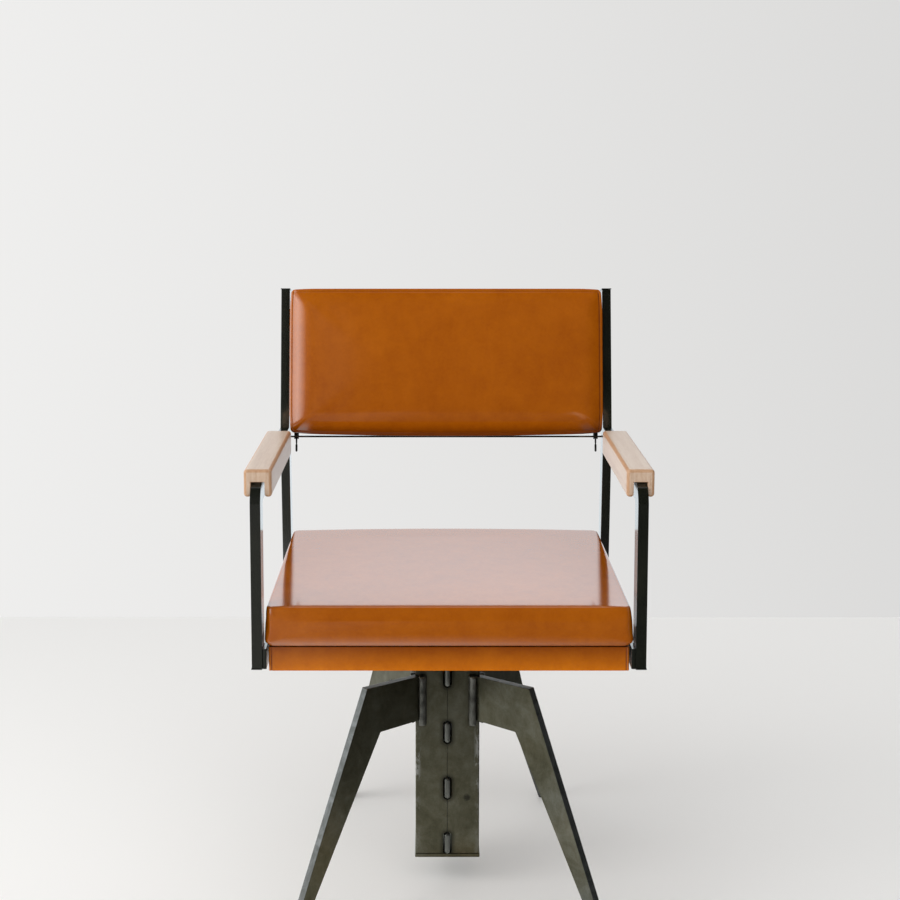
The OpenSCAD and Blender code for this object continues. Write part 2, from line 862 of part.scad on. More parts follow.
// The seat bellies out low on its sides and narrows towards its top seam
seat_side_shares = [
    [0, 0.85], [0.03, 0.42], [0.1, 0.08], [0.2, 0], [0.4, 0.1],
    [0.65, 0.32], [0.85, 0.5], [0.95, 0.68], [1, 1]
];
seat_crown_shares = [0.97, 0.85, 0.65, 0.4, 0.18];

module seat_cushion() {
    color(leather) on_axis() translate([0, -seat_front + seat_d / 2, cushion_z])
        padded_form(seat_w, seat_d, seat_t, seat_corner_r, seat_tuck, seat_crown,
            seat_side_shares, seat_crown_shares);
}

// Back, drawn on the reclined part of the posts

board_foot_z = back_gap / 2;
cushion_foot_z = back_gap / 4;
lower_rail_z = board_foot_z - back_gap - lower_rail_t;
back_board_h = back_h - back_gap;
back_board_w = back_w - 2 * back_tuck;
panel_y = back_board_y + back_board_t;
upper_rail_y = panel_y + back_panel_t;
upper_rail_z = board_foot_z + back_board_h - 2 * upper_rail_h;
stud_x = post_inner_x - stud_inset;
stud_y = back_board_y + back_board_t / 2;
stud_embed = 5 * stud_d;
back_screw_d = board_screw_d;
back_screw_shares = [-0.75, -0.25, 0.25, 0.75];

module stud_places() {
    for (side = [-1, 1]) translate([side * stud_x, stud_y, 0]) children();
}

module back_screw_places() {
    for (s = back_screw_shares)
        translate([s * back_board_w / 2, upper_rail_y + upper_rail_t, upper_rail_z + upper_rail_h / 2])
            rotate([90, 0, 0]) children();
}

module back_rail_lower() {
    color(steel) on_back() difference() {
        translate([-post_inner_x, 0, lower_rail_z]) cube([2 * post_inner_x, tube_d, lower_rail_t]);
        stud_places() translate([0, 0, lower_rail_z - over])
            cylinder(h = lower_rail_t + 2 * over, d = stud_d + 2 * fit);
    }
}

module back_rail_upper() {
    color(steel) on_back() difference() {
        translate([-post_inner_x, upper_rail_y, upper_rail_z])
            cube([2 * post_inner_x, upper_rail_t, upper_rail_h]);
        back_screw_places() translate([0, 0, -over])
            cylinder(h = upper_rail_t + 2 * over, d = back_screw_d + 2 * fit);
    }
}

module back_board() {
    color(plywood) on_back() difference() {
        translate([-back_board_w / 2, back_board_y, board_foot_z])
            cube([back_board_w, back_board_t, back_board_h]);
        stud_places() translate([0, 0, board_foot_z - over])
            cylinder(h = stud_embed + over + fit, d = stud_d + 2 * fit);
        back_screw_places() translate([0, 0, upper_rail_t + back_panel_t - over])
            cylinder(h = back_board_t / 2 + over + fit, d = back_screw_d + 2 * fit);
    }
}

module back_rear_panel() {
    color(leather) on_back() difference() {
        translate([-back_board_w / 2, panel_y, board_foot_z]) cube([back_board_w, back_panel_t, back_board_h]);
        back_screw_places() translate([0, 0, upper_rail_t - over])
            cylinder(h = back_panel_t + 2 * over, d = back_screw_d + 2 * fit);
    }
}

module back_studs() {
    color(zinc) on_back() stud_places()
        translate([0, 0, lower_rail_z - stud_tail])
            cylinder(h = stud_tail + lower_rail_t + back_gap + stud_embed, d = stud_d);
}

// A spacer nut holds the board off the rail, and a nut below clamps the rail
module back_stud_nuts() {
    nut_t = hex_nut_t_share * stud_d;
    color(zinc) on_back() stud_places() {
        translate([0, 0, board_foot_z - back_gap]) stud_nut(back_gap);
        translate([0, 0, lower_rail_z - nut_t]) stud_nut(nut_t);
    }
}

module stud_nut(height) {
    linear_extrude(height) difference() {
        hexagon(stud_nut_flats_share * stud_d);
        circle(d = stud_d + 2 * fit);
    }
}

module back_screws() {
    color(zinc) on_back() back_screw_places()
        pan_screw(back_screw_d, upper_rail_t + back_panel_t + back_board_t / 2);
}

back_side_shares = [
    [0, 1], [0.06, 0.5], [0.2, 0.1], [0.38, 0], [0.58, 0.25],
    [0.75, 0.8], [0.87, 1.6], [0.95, 2.5], [1, 3.8]
];
back_crown_shares = [0.96, 0.84, 0.64, 0.4, 0.18];

module back_cushion() {
    color(leather) on_back()
        translate([0, back_board_y - soft_gap, cushion_foot_z + back_h / 2])
            rotate([90, 0, 0])
                padded_form(back_w, back_h, back_t, back_corner_r, back_tuck, back_crown,
                    back_side_shares, back_crown_shares);
}

column_left();
column_right();
column_web();
column_top_plate();
column_base_cap();
leg_front_left();
leg_front_right();
leg_rear_left();
leg_rear_right();
leg_welds();
foot_pads();
spindle_housing();
bush_upper();
bush_lower();
thrust_washer();
spindle();
spindle_washer();
spindle_nut();
seat_plate();
seat_plate_bolts();
seat_plate_nuts();
cross_tube_front();
cross_tube_rear();
side_rail_left();
side_rail_right();
arm_frame_left();
arm_frame_right();
rear_post_left();
rear_post_right();
post_top_caps();
post_bottom_caps();
armrest_left();
armrest_right();
armrest_screws();
seat_skirt();
seat_board();
seat_board_screws();
seat_cushion();
back_rail_lower();
back_rail_upper();
back_board();
back_rear_panel();
back_studs();
back_stud_nuts();
back_screws();
back_cushion();
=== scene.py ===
"""Looks of the swivel salon chair: leather, blackened tube, raw steel plate and beech."""
import math

import bmesh
import bpy
import numpy as np
from mathutils import Matrix, Vector


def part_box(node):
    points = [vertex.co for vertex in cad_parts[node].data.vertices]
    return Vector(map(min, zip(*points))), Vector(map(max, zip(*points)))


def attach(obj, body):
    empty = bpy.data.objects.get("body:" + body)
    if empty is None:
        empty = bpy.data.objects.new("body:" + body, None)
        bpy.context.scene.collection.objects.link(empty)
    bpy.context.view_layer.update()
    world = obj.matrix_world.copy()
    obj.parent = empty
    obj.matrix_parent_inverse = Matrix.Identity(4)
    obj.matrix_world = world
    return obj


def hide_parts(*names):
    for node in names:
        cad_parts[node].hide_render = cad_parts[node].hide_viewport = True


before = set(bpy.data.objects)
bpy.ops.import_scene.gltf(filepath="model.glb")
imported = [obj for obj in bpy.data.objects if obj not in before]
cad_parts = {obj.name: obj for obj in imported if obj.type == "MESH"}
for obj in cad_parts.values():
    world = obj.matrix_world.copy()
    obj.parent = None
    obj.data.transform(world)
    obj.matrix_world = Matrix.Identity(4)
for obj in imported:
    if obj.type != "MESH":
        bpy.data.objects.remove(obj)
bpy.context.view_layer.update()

MM = 0.001
TOUCH = 1e-5            # places closer than this, in metres, are one place
X, Y, Z = range(3)


# Places that the pieces share, in metres

def middle(node):
    low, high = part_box(node)
    return (low + high) / 2


AXIS_Y = middle("column_top_plate").y
COLUMN_HALF = 50 * MM
RECLINE = math.radians(9.2)
BACK_PIVOT = Vector((0, AXIS_Y + 192.5 * MM, 676 * MM))
ON_BACK = Matrix.Translation(BACK_PIVOT) @ Matrix.Rotation(-RECLINE, 4, "X")
TAB_COUNT = 4
TAB_FOOT, TAB_PITCH, TAB_TALL, TAB_WIDE = 68.5 * MM, 91 * MM, 33 * MM, 8.5 * MM


# Shader maths: a Wire is the output of a node

class Wire:
    """A value in a material. Arithmetic on it adds Math nodes."""

    def __init__(self, finish, source):
        self.finish = finish
        self.source = source

    def math(self, operation, *values):
        return self.finish.node("ShaderNodeMath", {"operation": operation},
                                dict(enumerate(values)))

    def __add__(self, other):
        return self.math("ADD", self, other)

    def __sub__(self, other):
        return self.math("SUBTRACT", self, other)

    def __rsub__(self, other):
        return self.math("SUBTRACT", other, self)

    def __mul__(self, other):
        return self.math("MULTIPLY", self, other)

    def __truediv__(self, other):
        return self.math("DIVIDE", self, other)

    def __pow__(self, other):
        return self.math("POWER", self, other)

    def __abs__(self):
        return self.math("ABSOLUTE", self)

    __radd__ = __add__
    __rmul__ = __mul__

    def step(self, low, high, to_low=0.0, to_high=1.0):
        """Eases from to_low to to_high as the value goes from low to high."""
        return self.finish.node(
            "ShaderNodeMapRange", {"interpolation_type": "SMOOTHSTEP"},
            {"Value": self, "From Min": low, "From Max": high,
             "To Min": to_low, "To Max": to_high})


class Finish:
    """A material, or the world, with one method that makes its nodes."""

    def __init__(self, owner):
        owner.use_nodes = True
        self.owner = owner
        self.tree = owner.node_tree
        self.tree.nodes.clear()

    def node(self, kind, settings=None, sockets=None, out=0):
        """Adds a node: its settings first, then the values or links of its sockets."""
        made = self.tree.nodes.new(kind)
        for key, value in (settings or {}).items():
            if key == "stops":
                ramp = made.color_ramp.elements
                while len(ramp) < len(value):
                    ramp.new(1.0)
                for stop, (place, colour) in zip(ramp, value):
                    stop.position = place
                    stop.color = (*colour, 1.0)
            else:
                setattr(made, key, value)
        for key, value in (sockets or {}).items():
            if isinstance(value, Wire):
                self.tree.links.new(value.source, made.inputs[key])
            else:
                made.inputs[key].default_value = value
        return Wire(self, made.outputs[out]) if len(made.outputs) else made

    def place(self, stretch=(1, 1, 1)):
        """Where a point of the surface is, in metres, stretched along the axes."""
        here = self.node("ShaderNodeTexCoord", out="Object")
        return self.node("ShaderNodeMapping", None, {"Vector": here, "Scale": stretch})

    def mask(self, name):
        """A value kept on the mesh; it is 0 on a mesh without it."""
        return self.node("ShaderNodeAttribute", {"attribute_name": name}, out="Fac")

    def axis(self, vector, name):
        return self.node("ShaderNodeSeparateXYZ", None, {"Vector": vector}, out=name)

    def noise(self, vector, scale, detail=2.0, rough=0.5, twist=0.0):
        return self.node("ShaderNodeTexNoise", None,
                         {"Vector": vector, "Scale": scale, "Detail": detail,
                          "Roughness": rough, "Distortion": twist})

    def cells(self, vector, scale):
        return self.node("ShaderNodeTexVoronoi", None, {"Vector": vector, "Scale": scale},
                         out="Distance")

    def ramp(self, value, stops):
        return self.node("ShaderNodeValToRGB", {"stops": stops}, {"Fac": value})

    def mix(self, share, first, second, blend="MIX"):
        first = first if isinstance(first, Wire) else (*first, 1.0)
        second = second if isinstance(second, Wire) else (*second, 1.0)
        return self.node("ShaderNodeMix", {"data_type": "RGBA", "blend_type": blend},
                         {0: share, 6: first, 7: second}, out=2)

    def stain(self, share, colour, tint):
        """The colour, multiplied by a tint as far as share says."""
        return self.mix(share, colour, self.mix(1.0, colour, tint, "MULTIPLY"))

    def bump(self, height, strength, depth, below=None):
        sockets = {"Height": height, "Strength": strength, "Distance": depth}
        if below is not None:
            sockets["Normal"] = below
        return self.node("ShaderNodeBump", None, sockets)

    def surface(self, **sockets):
        named = {key.replace("_", " "): value for key, value in sockets.items()}
        shader = self.node("ShaderNodeBsdfPrincipled", None, named)
        self.node("ShaderNodeOutputMaterial", None, {"Surface": shader})


def new_finish(name):
    return Finish(bpy.data.materials.new(name))


# Colours of the finishes. A ramp is a row of stops: a place on the ramp, and the colour there.

HIDE = ((0.38, (0.330, 0.074, 0.0003)),
        (0.50, (0.376, 0.090, 0.0006)),
        (0.62, (0.420, 0.106, 0.0012)))
BLACKENING = ((0.32, (0.0034, 0.0044, 0.0018)),
              (0.47, (0.0054, 0.0066, 0.0028)),
              (0.57, (0.0088, 0.0100, 0.0044)),
              (0.70, (0.0200, 0.0195, 0.0095)))
MILL_SCALE = ((0.34, (0.062, 0.059, 0.036)),
              (0.46, (0.104, 0.101, 0.067)),
              (0.54, (0.138, 0.136, 0.098)),
              (0.66, (0.200, 0.200, 0.162)))
BEECH_GRAIN = ((0.32, (0.420, 0.262, 0.165)),
               (0.45, (0.530, 0.370, 0.258)),
               (0.56, (0.590, 0.440, 0.328)),
               (0.70, (0.640, 0.510, 0.405)))
BIRCH_GRAIN = ((0.30, (0.46, 0.29, 0.15)), (0.70, (0.66, 0.49, 0.31)))
DUSTY_RUBBER = ((0.35, (0.014, 0.014, 0.014)), (0.75, (0.050, 0.049, 0.046)))
SEAM_AND_SHADE_TINT = (0.34, 0.26, 0.20)
# the second tint brightens and greys as a painted reflection on the legs, and the third darkens as
# painted shade
WARM_TINT, PAINTED_REFLECTION_TINT, PAINTED_SHADE_TINT = (1.06, 0.90, 0.66), (1.42, 1.58, 1.98), (0.72, 0.70, 0.62)
HAND_AND_SHADE_TINT = (0.84, 0.62, 0.42)
CUT_DULL, CUT_BRIGHT = (0.135, 0.140, 0.132), (0.225, 0.232, 0.228)
RUBBED_STEEL, SLOT_DARK = (0.44, 0.45, 0.43), (0.012, 0.012, 0.009)
SMUDGE, BEAD_CORNER_DARK = (0.020, 0.020, 0.016), (0.030, 0.030, 0.022)
GLUE_LINE = (0.20, 0.10, 0.045)
BLACK, WARM_WHITE = (0.0, 0.0, 0.0), (1.0, 0.995, 0.985)
FLOOR_TONE_AND_PAINTED_LIGHT = ((0.0, (0.86, 0.857, 0.85)), (1.0, (0.895, 0.892, 0.885)))
POLISH_IOR = 2.1        # higher than real wax has, for reflections as strong as the photograph's


# Finishes

def leather_finish(name, tone=1.0, gold=1.0):
    """Waxed tan hide: cloudy dye, fine grain, dark seams with painted shade in creases and along
    feet, and a deep polish.
    """
    f = new_finish(name)
    here = f.place()
    cloud = f.noise(here, 6.5, detail=3.0, rough=0.55, twist=0.4)
    patch = f.noise(here, 26.0, detail=4.0, rough=0.6)
    fleck = f.noise(here, 70.0, detail=3.0, rough=0.6)
    fine = f.noise(here, 210.0, detail=3.0, rough=0.65)
    shade = cloud * 0.28 + patch * 0.30 + fleck * 0.22 + fine * 0.20
    colour = f.ramp(shade, [(place, (red * tone, green * tone * gold, blue))
                            for place, (red, green, blue) in HIDE])
    # the seam mask darkens the sewn seams; in the creases and along the feet of the pads it is
    # painted shade
    colour = f.stain(f.mask("seam"), colour, SEAM_AND_SHADE_TINT)
    pores = f.cells(here, 900.0)
    grain = f.noise(here, 620.0, detail=2.0, rough=0.55)
    close = f.bump(pores * 0.5 + grain * 0.5, strength=0.02, depth=0.00025)
    broad = f.bump(cloud * 0.5 + patch * 0.5, strength=0.025, depth=0.0010, below=close)
    f.surface(Base_Color=colour, Roughness=patch * 0.10 + fine * 0.08 + 0.36,
              Specular_IOR_Level=0.0, Coat_Weight=1.0, Coat_Roughness=0.10, Coat_IOR=POLISH_IOR,
              Normal=broad)
    return f.owner


def blackened_finish(name):
    """Blackened and waxed tube, with a brown bloom here and there."""
    f = new_finish(name)
    here = f.place()
    cloud = f.noise(here, 9.0, detail=4.0, rough=0.6, twist=0.5)
    drag = f.noise(f.place(stretch=(1.0, 1.0, 0.25)), 60.0, detail=4.0, rough=0.65)
    speck = f.noise(here, 420.0, detail=2.0, rough=0.6)
    shade = cloud * 0.56 + drag * 0.26 + speck * 0.18
    f.surface(Base_Color=f.ramp(shade, BLACKENING),
              Roughness=cloud * 0.16 + drag * 0.14 + 0.30, Specular_IOR_Level=0.1,
              Coat_Weight=1.0, Coat_Roughness=0.12, Coat_IOR=POLISH_IOR,
              Normal=f.bump(speck * 0.6 + drag * 0.4, strength=0.10, depth=0.00015))
    return f.owner


def leg_painted_light(f, here, colour):
    """Painted light low down: the legs on the right are painted greyer and brighter, as a painted
    reflection of the lit floor, and the legs on the left browner and darker, as painted shade.
    """
    across, up = f.axis(here, "X"), f.axis(here, "Z")
    column_side, foot_side = 0.08, 0.22
    # painted reflection: the right legs are tinted greyer and brighter low down
    grey = across.step(column_side, foot_side) * up.step(0.10, 0.27, 0.85, 0.0)
    colour = f.stain(grey, colour, PAINTED_REFLECTION_TINT)
    # painted shade: the left legs are tinted browner and darker low down
    brown = (0 - across).step(column_side, foot_side) * up.step(0.12, 0.30, 0.9, 0.0)
    return f.stain(brown, colour, PAINTED_SHADE_TINT)


def column_marks(f, here, soft, speck, colour, rough):
    """Rubbed corners, a dark halo round each slot, one smudge, and darker corners from the feet of
    the beads up.
    """
    across, up = f.axis(here, "X"), f.axis(here, "Z")
    depth = f.axis(here, "Y") - AXIS_Y
    near_corner = (40.0 * MM, 48.5 * MM)
    corner = abs(across).step(*near_corner) * abs(depth).step(*near_corner)
    ragged = f.noise(f.place(stretch=(1.0, 1.0, 0.45)), 66.0, detail=5.0, rough=0.7)
    band = up.step(150 * MM, 168 * MM) * up.step(246 * MM, 262 * MM, 1.0, 0.0)
    worn = corner * ragged.step(0.48, 0.56) * (band * 0.75 + 0.25)
    colour = f.mix(worn * 0.8, colour, RUBBED_STEEL)
    rough = rough + worn * 0.10

    # how far a place is from the nearest slot's upright middle line
    turn = (up - TAB_FOOT) / TAB_PITCH + 0.5
    line_half = 12 * MM
    past = abs(turn.math("FRACT", turn) - 0.5) * TAB_PITCH - line_half
    past = past.math("MAXIMUM", past, 0.0)
    reach = (past * past + across * across) ** 0.5
    on_front_or_rear = abs(depth).step(48.0 * MM, 49.5 * MM)
    halo = reach.step(6.6 * MM, 14.5 * MM, 1.0, 0.0) * on_front_or_rear
    colour = f.mix(halo * 0.60, colour, SLOT_DARK)

    spot_x, spot_z = 31 * MM, 144 * MM
    spot = ((across - spot_x) * (across - spot_x) + (up - spot_z) * (up - spot_z)) ** 0.5 \
        + speck * 0.006
    colour = f.mix(spot.step(5 * MM, 11 * MM, 0.75, 0.0), colour, SMUDGE)

    # darker near the corners, from the feet of the beads up
    by_beads = abs(across).step(26 * MM, 40 * MM) * up.step(256 * MM, 272 * MM)
    return f.mix(by_beads * (0.35 + soft * 0.5), colour, BEAD_CORNER_DARK), rough


def plate_finish(name, column=False):
    """Raw hot rolled steel: brown and green mill scale, and brighter cut edges."""
    f = new_finish(name)
    here = f.place()
    cloud = f.noise(here, 8.0, detail=5.0, rough=0.62, twist=0.8)
    blotch = f.noise(here, 31.0, detail=4.0, rough=0.6, twist=1.2)
    soft = f.noise(f.place(stretch=(1.0, 1.0, 0.5)), 90.0, detail=4.0, rough=0.62)
    speck = f.noise(here, 380.0, detail=3.0, rough=0.65)
    warm = f.noise(here, 4.2, detail=2.0, rough=0.5)
    shade = cloud * 0.44 + blotch * 0.28 + soft * 0.16 + speck * 0.12
    colour = f.stain(warm.step(0.48, 0.66, 0.0, 0.55), f.ramp(shade, MILL_SCALE), WARM_TINT)
    rough = cloud * 0.16 + speck * 0.10 + 0.22
    if column:
        colour, rough = column_marks(f, here, soft, speck, colour, rough)
    else:
        # painted light on the legs: a painted reflection on the right, painted shade on the left
        colour = leg_painted_light(f, here, colour)
    edge = f.mix(blotch.step(0.35, 0.65), CUT_DULL, CUT_BRIGHT)
    f.surface(Base_Color=f.mix(f.mask("cut"), colour, edge), Metallic=0.94, Roughness=rough,
              Normal=f.bump(blotch * 0.5 + speck * 0.5, strength=0.14, depth=0.00025))
    return f.owner


def ground_finish(name, dark, pale, rough=0.32, grain=(1.0, 1.0, 0.2), scale=160.0):
    """Bright metal with a directional grain: weld metal, tabs, plated screws, bushes."""
    f = new_finish(name)
    here = f.place()
    drag = f.noise(f.place(stretch=grain), scale, detail=3.0, rough=0.6)
    cloud = f.noise(here, 34.0, detail=3.0, rough=0.6)
    speck = f.noise(here, 500.0, detail=2.0, rough=0.6)
    shade = drag * 0.5 + cloud * 0.35 + speck * 0.15
    f.surface(Base_Color=f.ramp(shade, ((0.34, dark), (0.66, pale))),
              Metallic=0.9, Roughness=cloud * 0.16 + drag * 0.12 + (rough - 0.12),
              Normal=f.bump(drag * 0.7 + speck * 0.3, strength=0.15, depth=0.00015))
    return f.owner


def beech_finish(name):
    """Oiled pale beech: grain along the arm, streaks on the end grain, edges darkened partly by
    hands and partly as painted shade.
    """
    f = new_finish(name)
    rings = f.noise(f.place(stretch=(1.0, 0.045, 1.0)), 74.0, detail=3.0, rough=0.55, twist=0.6)
    ends = f.noise(f.place(stretch=(1.0, 1.0, 0.10)), 260.0, detail=3.0, rough=0.6)
    ray = f.noise(f.place(stretch=(1.0, 0.16, 0.6)), 330.0, detail=2.0, rough=0.6)
    pore = f.noise(f.place(stretch=(1.0, 0.06, 1.0)), 620.0, detail=2.0, rough=0.5)
    warm = f.noise(f.place(stretch=(1.0, 0.25, 1.0)), 17.0, detail=2.0, rough=0.5)
    end = f.mask("end")
    line = rings * (1 - end) + ends * end
    shade = line * 0.50 + ray * 0.16 + pore * 0.12 + warm * 0.22
    # the rounded edges are darkened, partly as wear from hands and partly as painted shade
    f.surface(Base_Color=f.stain(f.mask("rim") * 0.75, f.ramp(shade, BEECH_GRAIN), HAND_AND_SHADE_TINT),
              Roughness=line * 0.14 + 0.42, IOR=1.45,
              Coat_Weight=0.38, Coat_Roughness=0.28, Coat_IOR=1.6,
              Normal=f.bump(line * 0.5 + pore * 0.5, strength=0.14, depth=0.00025))
    return f.owner


def plywood_finish(name, normal_axis):
    """Birch plywood: pale faces, and dark glue lines through its thickness."""
    f = new_finish(name)
    here = f.place()
    depth = f.axis(here, normal_axis)
    veneer = 1.1 * MM
    to_glue = depth.math("PINGPONG", depth, veneer)
    grain = f.noise(f.place(stretch=(0.08, 1.0, 1.0)), 120.0, detail=3.0, rough=0.6, twist=0.4)
    face = f.ramp(grain * 0.8 + f.noise(here, 12.0) * 0.2, BIRCH_GRAIN)
    colour = f.mix(to_glue.step(0.0, 0.3 * MM, 0.55, 0.0), face, GLUE_LINE)
    f.surface(Base_Color=colour, Roughness=grain * 0.2 + 0.5,
              Normal=f.bump(grain, strength=0.2, depth=0.0003))
    return f.owner


def rubber_finish(name):
    """Black rubber, with dust in places."""
    f = new_finish(name)
    here = f.place()
    dust = f.noise(here, 60.0, detail=4.0, rough=0.6)
    speck = f.noise(here, 700.0, detail=2.0, rough=0.6)
    f.surface(Base_Color=f.ramp(dust, DUSTY_RUBBER), Roughness=dust * 0.2 + 0.6,
              Normal=f.bump(speck, strength=0.2, depth=0.0002))
    return f.owner


LEATHER = leather_finish("tan_leather")
# a brighter copy of the hide for the skirt: painted light that makes up for the shade the cushion
# casts on it
SKIRT_LEATHER_PAINTED_LIGHT = leather_finish("skirt_leather_painted_light", tone=1.74, gold=1.12)
TUBE = blackened_finish("blackened_tube")
PLATE = plate_finish("raw_plate")
COLUMN = plate_finish("raw_column", column=True)
WELD = ground_finish("brushed_weld", (0.055, 0.056, 0.048), (0.26, 0.264, 0.24),
                     rough=0.34, grain=(1, 1, 0.3), scale=120.0)
TAB = ground_finish("ground_tab", (0.085, 0.09, 0.078), (0.27, 0.28, 0.26))
ZINC = ground_finish("zinc_plate", (0.30, 0.31, 0.32), (0.60, 0.61, 0.63), rough=0.34)
DARK_ZINC = ground_finish("black_zinc", (0.020, 0.020, 0.018), (0.070, 0.070, 0.062), rough=0.38)
BRONZE = ground_finish("bush_bronze", (0.34, 0.20, 0.07), (0.62, 0.42, 0.18))
BEECH = beech_finish("oiled_beech")
SEAT_PLY = plywood_finish("seat_plywood", "Z")
BACK_PLY = plywood_finish("back_plywood", "Y")
RUBBER = rubber_finish("foot_rubber")


# Ways of making a piece

def only(piece):
    """Selects this piece alone, in object mode."""
    if bpy.context.object and bpy.context.object.mode != "OBJECT":
        bpy.ops.object.mode_set(mode="OBJECT")
    bpy.ops.object.select_all(action="DESELECT")
    piece.select_set(True)
    bpy.context.view_layer.objects.active = piece


def pick(piece, kind, test):
    """Selects the faces or edges of a piece that pass a test, and goes into edit mode."""
    only(piece)
    bpy.ops.object.mode_set(mode="EDIT")
    bpy.ops.mesh.select_mode(type={"faces": "FACE", "edges": "EDGE"}[kind])
    bpy.ops.mesh.select_all(action="DESELECT")
    mesh = bmesh.from_edit_mesh(piece.data)
    for part in getattr(mesh, kind):
        if test(part):
            part.select_set(True)
    mesh.select_flush_mode()
    bmesh.update_edit_mesh(piece.data)


def placed(piece):
    """Names a new primitive's mesh after it and puts its place into the mesh."""
    piece.data.name = piece.name
    bpy.ops.object.transform_apply(location=True, rotation=True, scale=True)
    return piece


def block(name, low, high):
    """A cube primitive between two corners."""
    bpy.ops.object.select_all(action="DESELECT")
    low, high = Vector(low), Vector(high)
    bpy.ops.mesh.primitive_cube_add(size=1, location=(low + high) / 2, scale=high - low)
    bpy.context.object.name = name
    return placed(bpy.context.object)


def slice_at(piece, axis, places):
    """Cuts edge loops right round a piece, square to one axis."""
    only(piece)
    bpy.ops.object.mode_set(mode="EDIT")
    for place in places:
        bpy.ops.mesh.select_all(action="SELECT")
        point, normal = [0, 0, 0], [0, 0, 0]
        point[axis] = place
        normal[axis] = 1
        bpy.ops.mesh.bisect(plane_co=point, plane_no=normal)
    bpy.ops.object.mode_set(mode="OBJECT")


def apply(piece, kind, **settings):
    """Adds a modifier with these settings and applies it."""
    only(piece)
    modifier = piece.modifiers.new(kind.lower(), kind)
    for key, value in settings.items():
        setattr(modifier, key, value)
    bpy.ops.object.modifier_apply(modifier=modifier.name)


def smooth(piece, degrees=35):
    """Shades a piece smooth, apart from edges that turn by more than this."""
    only(piece)
    bpy.ops.object.shade_smooth_by_angle(angle=math.radians(degrees))


def soften(piece):
    """Divides the faces of a piece once more and shades it smooth all over."""
    apply(piece, "SUBSURF", levels=1, render_levels=1)
    only(piece)
    bpy.ops.object.shade_smooth()


def rows(items, name):
    """Three numbers for each point or face, one row each."""
    values = np.empty(len(items) * 3)
    items.foreach_get(name, values)
    return values.reshape(-1, 3)


def points(mesh):
    return rows(mesh.vertices, "co")


def face_normals(piece):
    return rows(piece.data.polygons, "normal")


def shape(piece, change):
    """Moves every point of a piece by a function of all its places and normals."""
    mesh = piece.data
    moved = change(points(mesh), rows(mesh.vertices, "normal"))
    mesh.vertices.foreach_set("co", moved.ravel())
    mesh.update()


def mark(piece, name, values, domain="POINT"):
    """Keeps a mask on the points or faces of a piece, for its material to read."""
    layer = piece.data.attributes.new(name, "FLOAT", domain)
    layer.data.foreach_set("value", np.asarray(values, dtype=np.float32))


def grid(low, high, gap):
    """Even places between two ends, without the ends, about gap apart."""
    return np.linspace(low, high, max(2, round((high - low) / gap)) + 1)[1:-1]


def grid_with_ends(low, high, close, gap):
    """An even grid whose first and last cuts are at these close distances from the ends."""
    last = close[-1]
    return np.concatenate((low + close, grid(low + last, high - last, gap), high - close))


def bell(distance, width):
    """1 at no distance, and next to nothing at twice the width."""
    return np.exp(-(distance / width) ** 2)


def hang(piece, body, finish, slot, *nodes):
    """Gives a finished piece its material, its body and the nodes that it stands for. The slot is
    not used.
    """
    piece.data.materials.clear()
    piece.data.materials.append(finish)
    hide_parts(*nodes)
    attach(piece, body)


def merged(name, node):
    """A copy of a CAD node, its loose triangles merged into clean faces."""
    mesh = bmesh.new()
    mesh.from_mesh(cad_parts[node].data)
    data = bpy.data.meshes.new(name)
    mesh.to_mesh(data)
    mesh.free()
    piece = bpy.data.objects.new(name, data)
    bpy.context.scene.collection.objects.link(piece)
    only(piece)
    bpy.ops.object.mode_set(mode="EDIT")
    bpy.ops.mesh.select_all(action="SELECT")
    bpy.ops.mesh.remove_doubles(threshold=TOUCH)
    bpy.ops.mesh.dissolve_limited(angle_limit=math.radians(0.8))
    bpy.ops.object.mode_set(mode="OBJECT")
    return piece


def ease(piece, radius, segments=2, degrees=32):
    """Rounds the sharp edges of a piece as a file or a die leaves them."""
    apply(piece, "BEVEL", width=radius, segments=segments, limit_method="ANGLE",
          angle_limit=math.radians(degrees), use_clamp_overlap=True, miter_outer="MITER_ARC")
    smooth(piece)
    apply(piece, "WEIGHTED_NORMAL", weight=80, keep_sharp=True)


def dress(name, node, radius, body, finish, slot, segments=2):
    """Stands a copy of a CAD node in its place, with edges rounded by radius millimetres."""
    piece = merged(name, node)
    ease(piece, radius * MM, segments)
    hang(piece, body, finish, slot, node)


def coat(node, finish):
    """A CAD node that shows as it is gets its material."""
    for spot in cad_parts[node].material_slots:
        spot.material = finish


# Base

def make_leg(end):
    """A plate leg, with its flame cut edges marked off from its rolled faces."""
    leg = merged("plate_leg_" + end, "leg_" + end)
    sizes = [face.area for face in leg.data.polygons]
    rolled = face_normals(leg)[int(np.argmax(sizes))]
    ease(leg, 0.9 * MM, 3)
    still_rolled = 0.93
    mark(leg, "cut", np.abs(face_normals(leg) @ rolled) < still_rolled, "FACE")
    hang(leg, "base", PLATE, "base_steel", "leg_" + end)


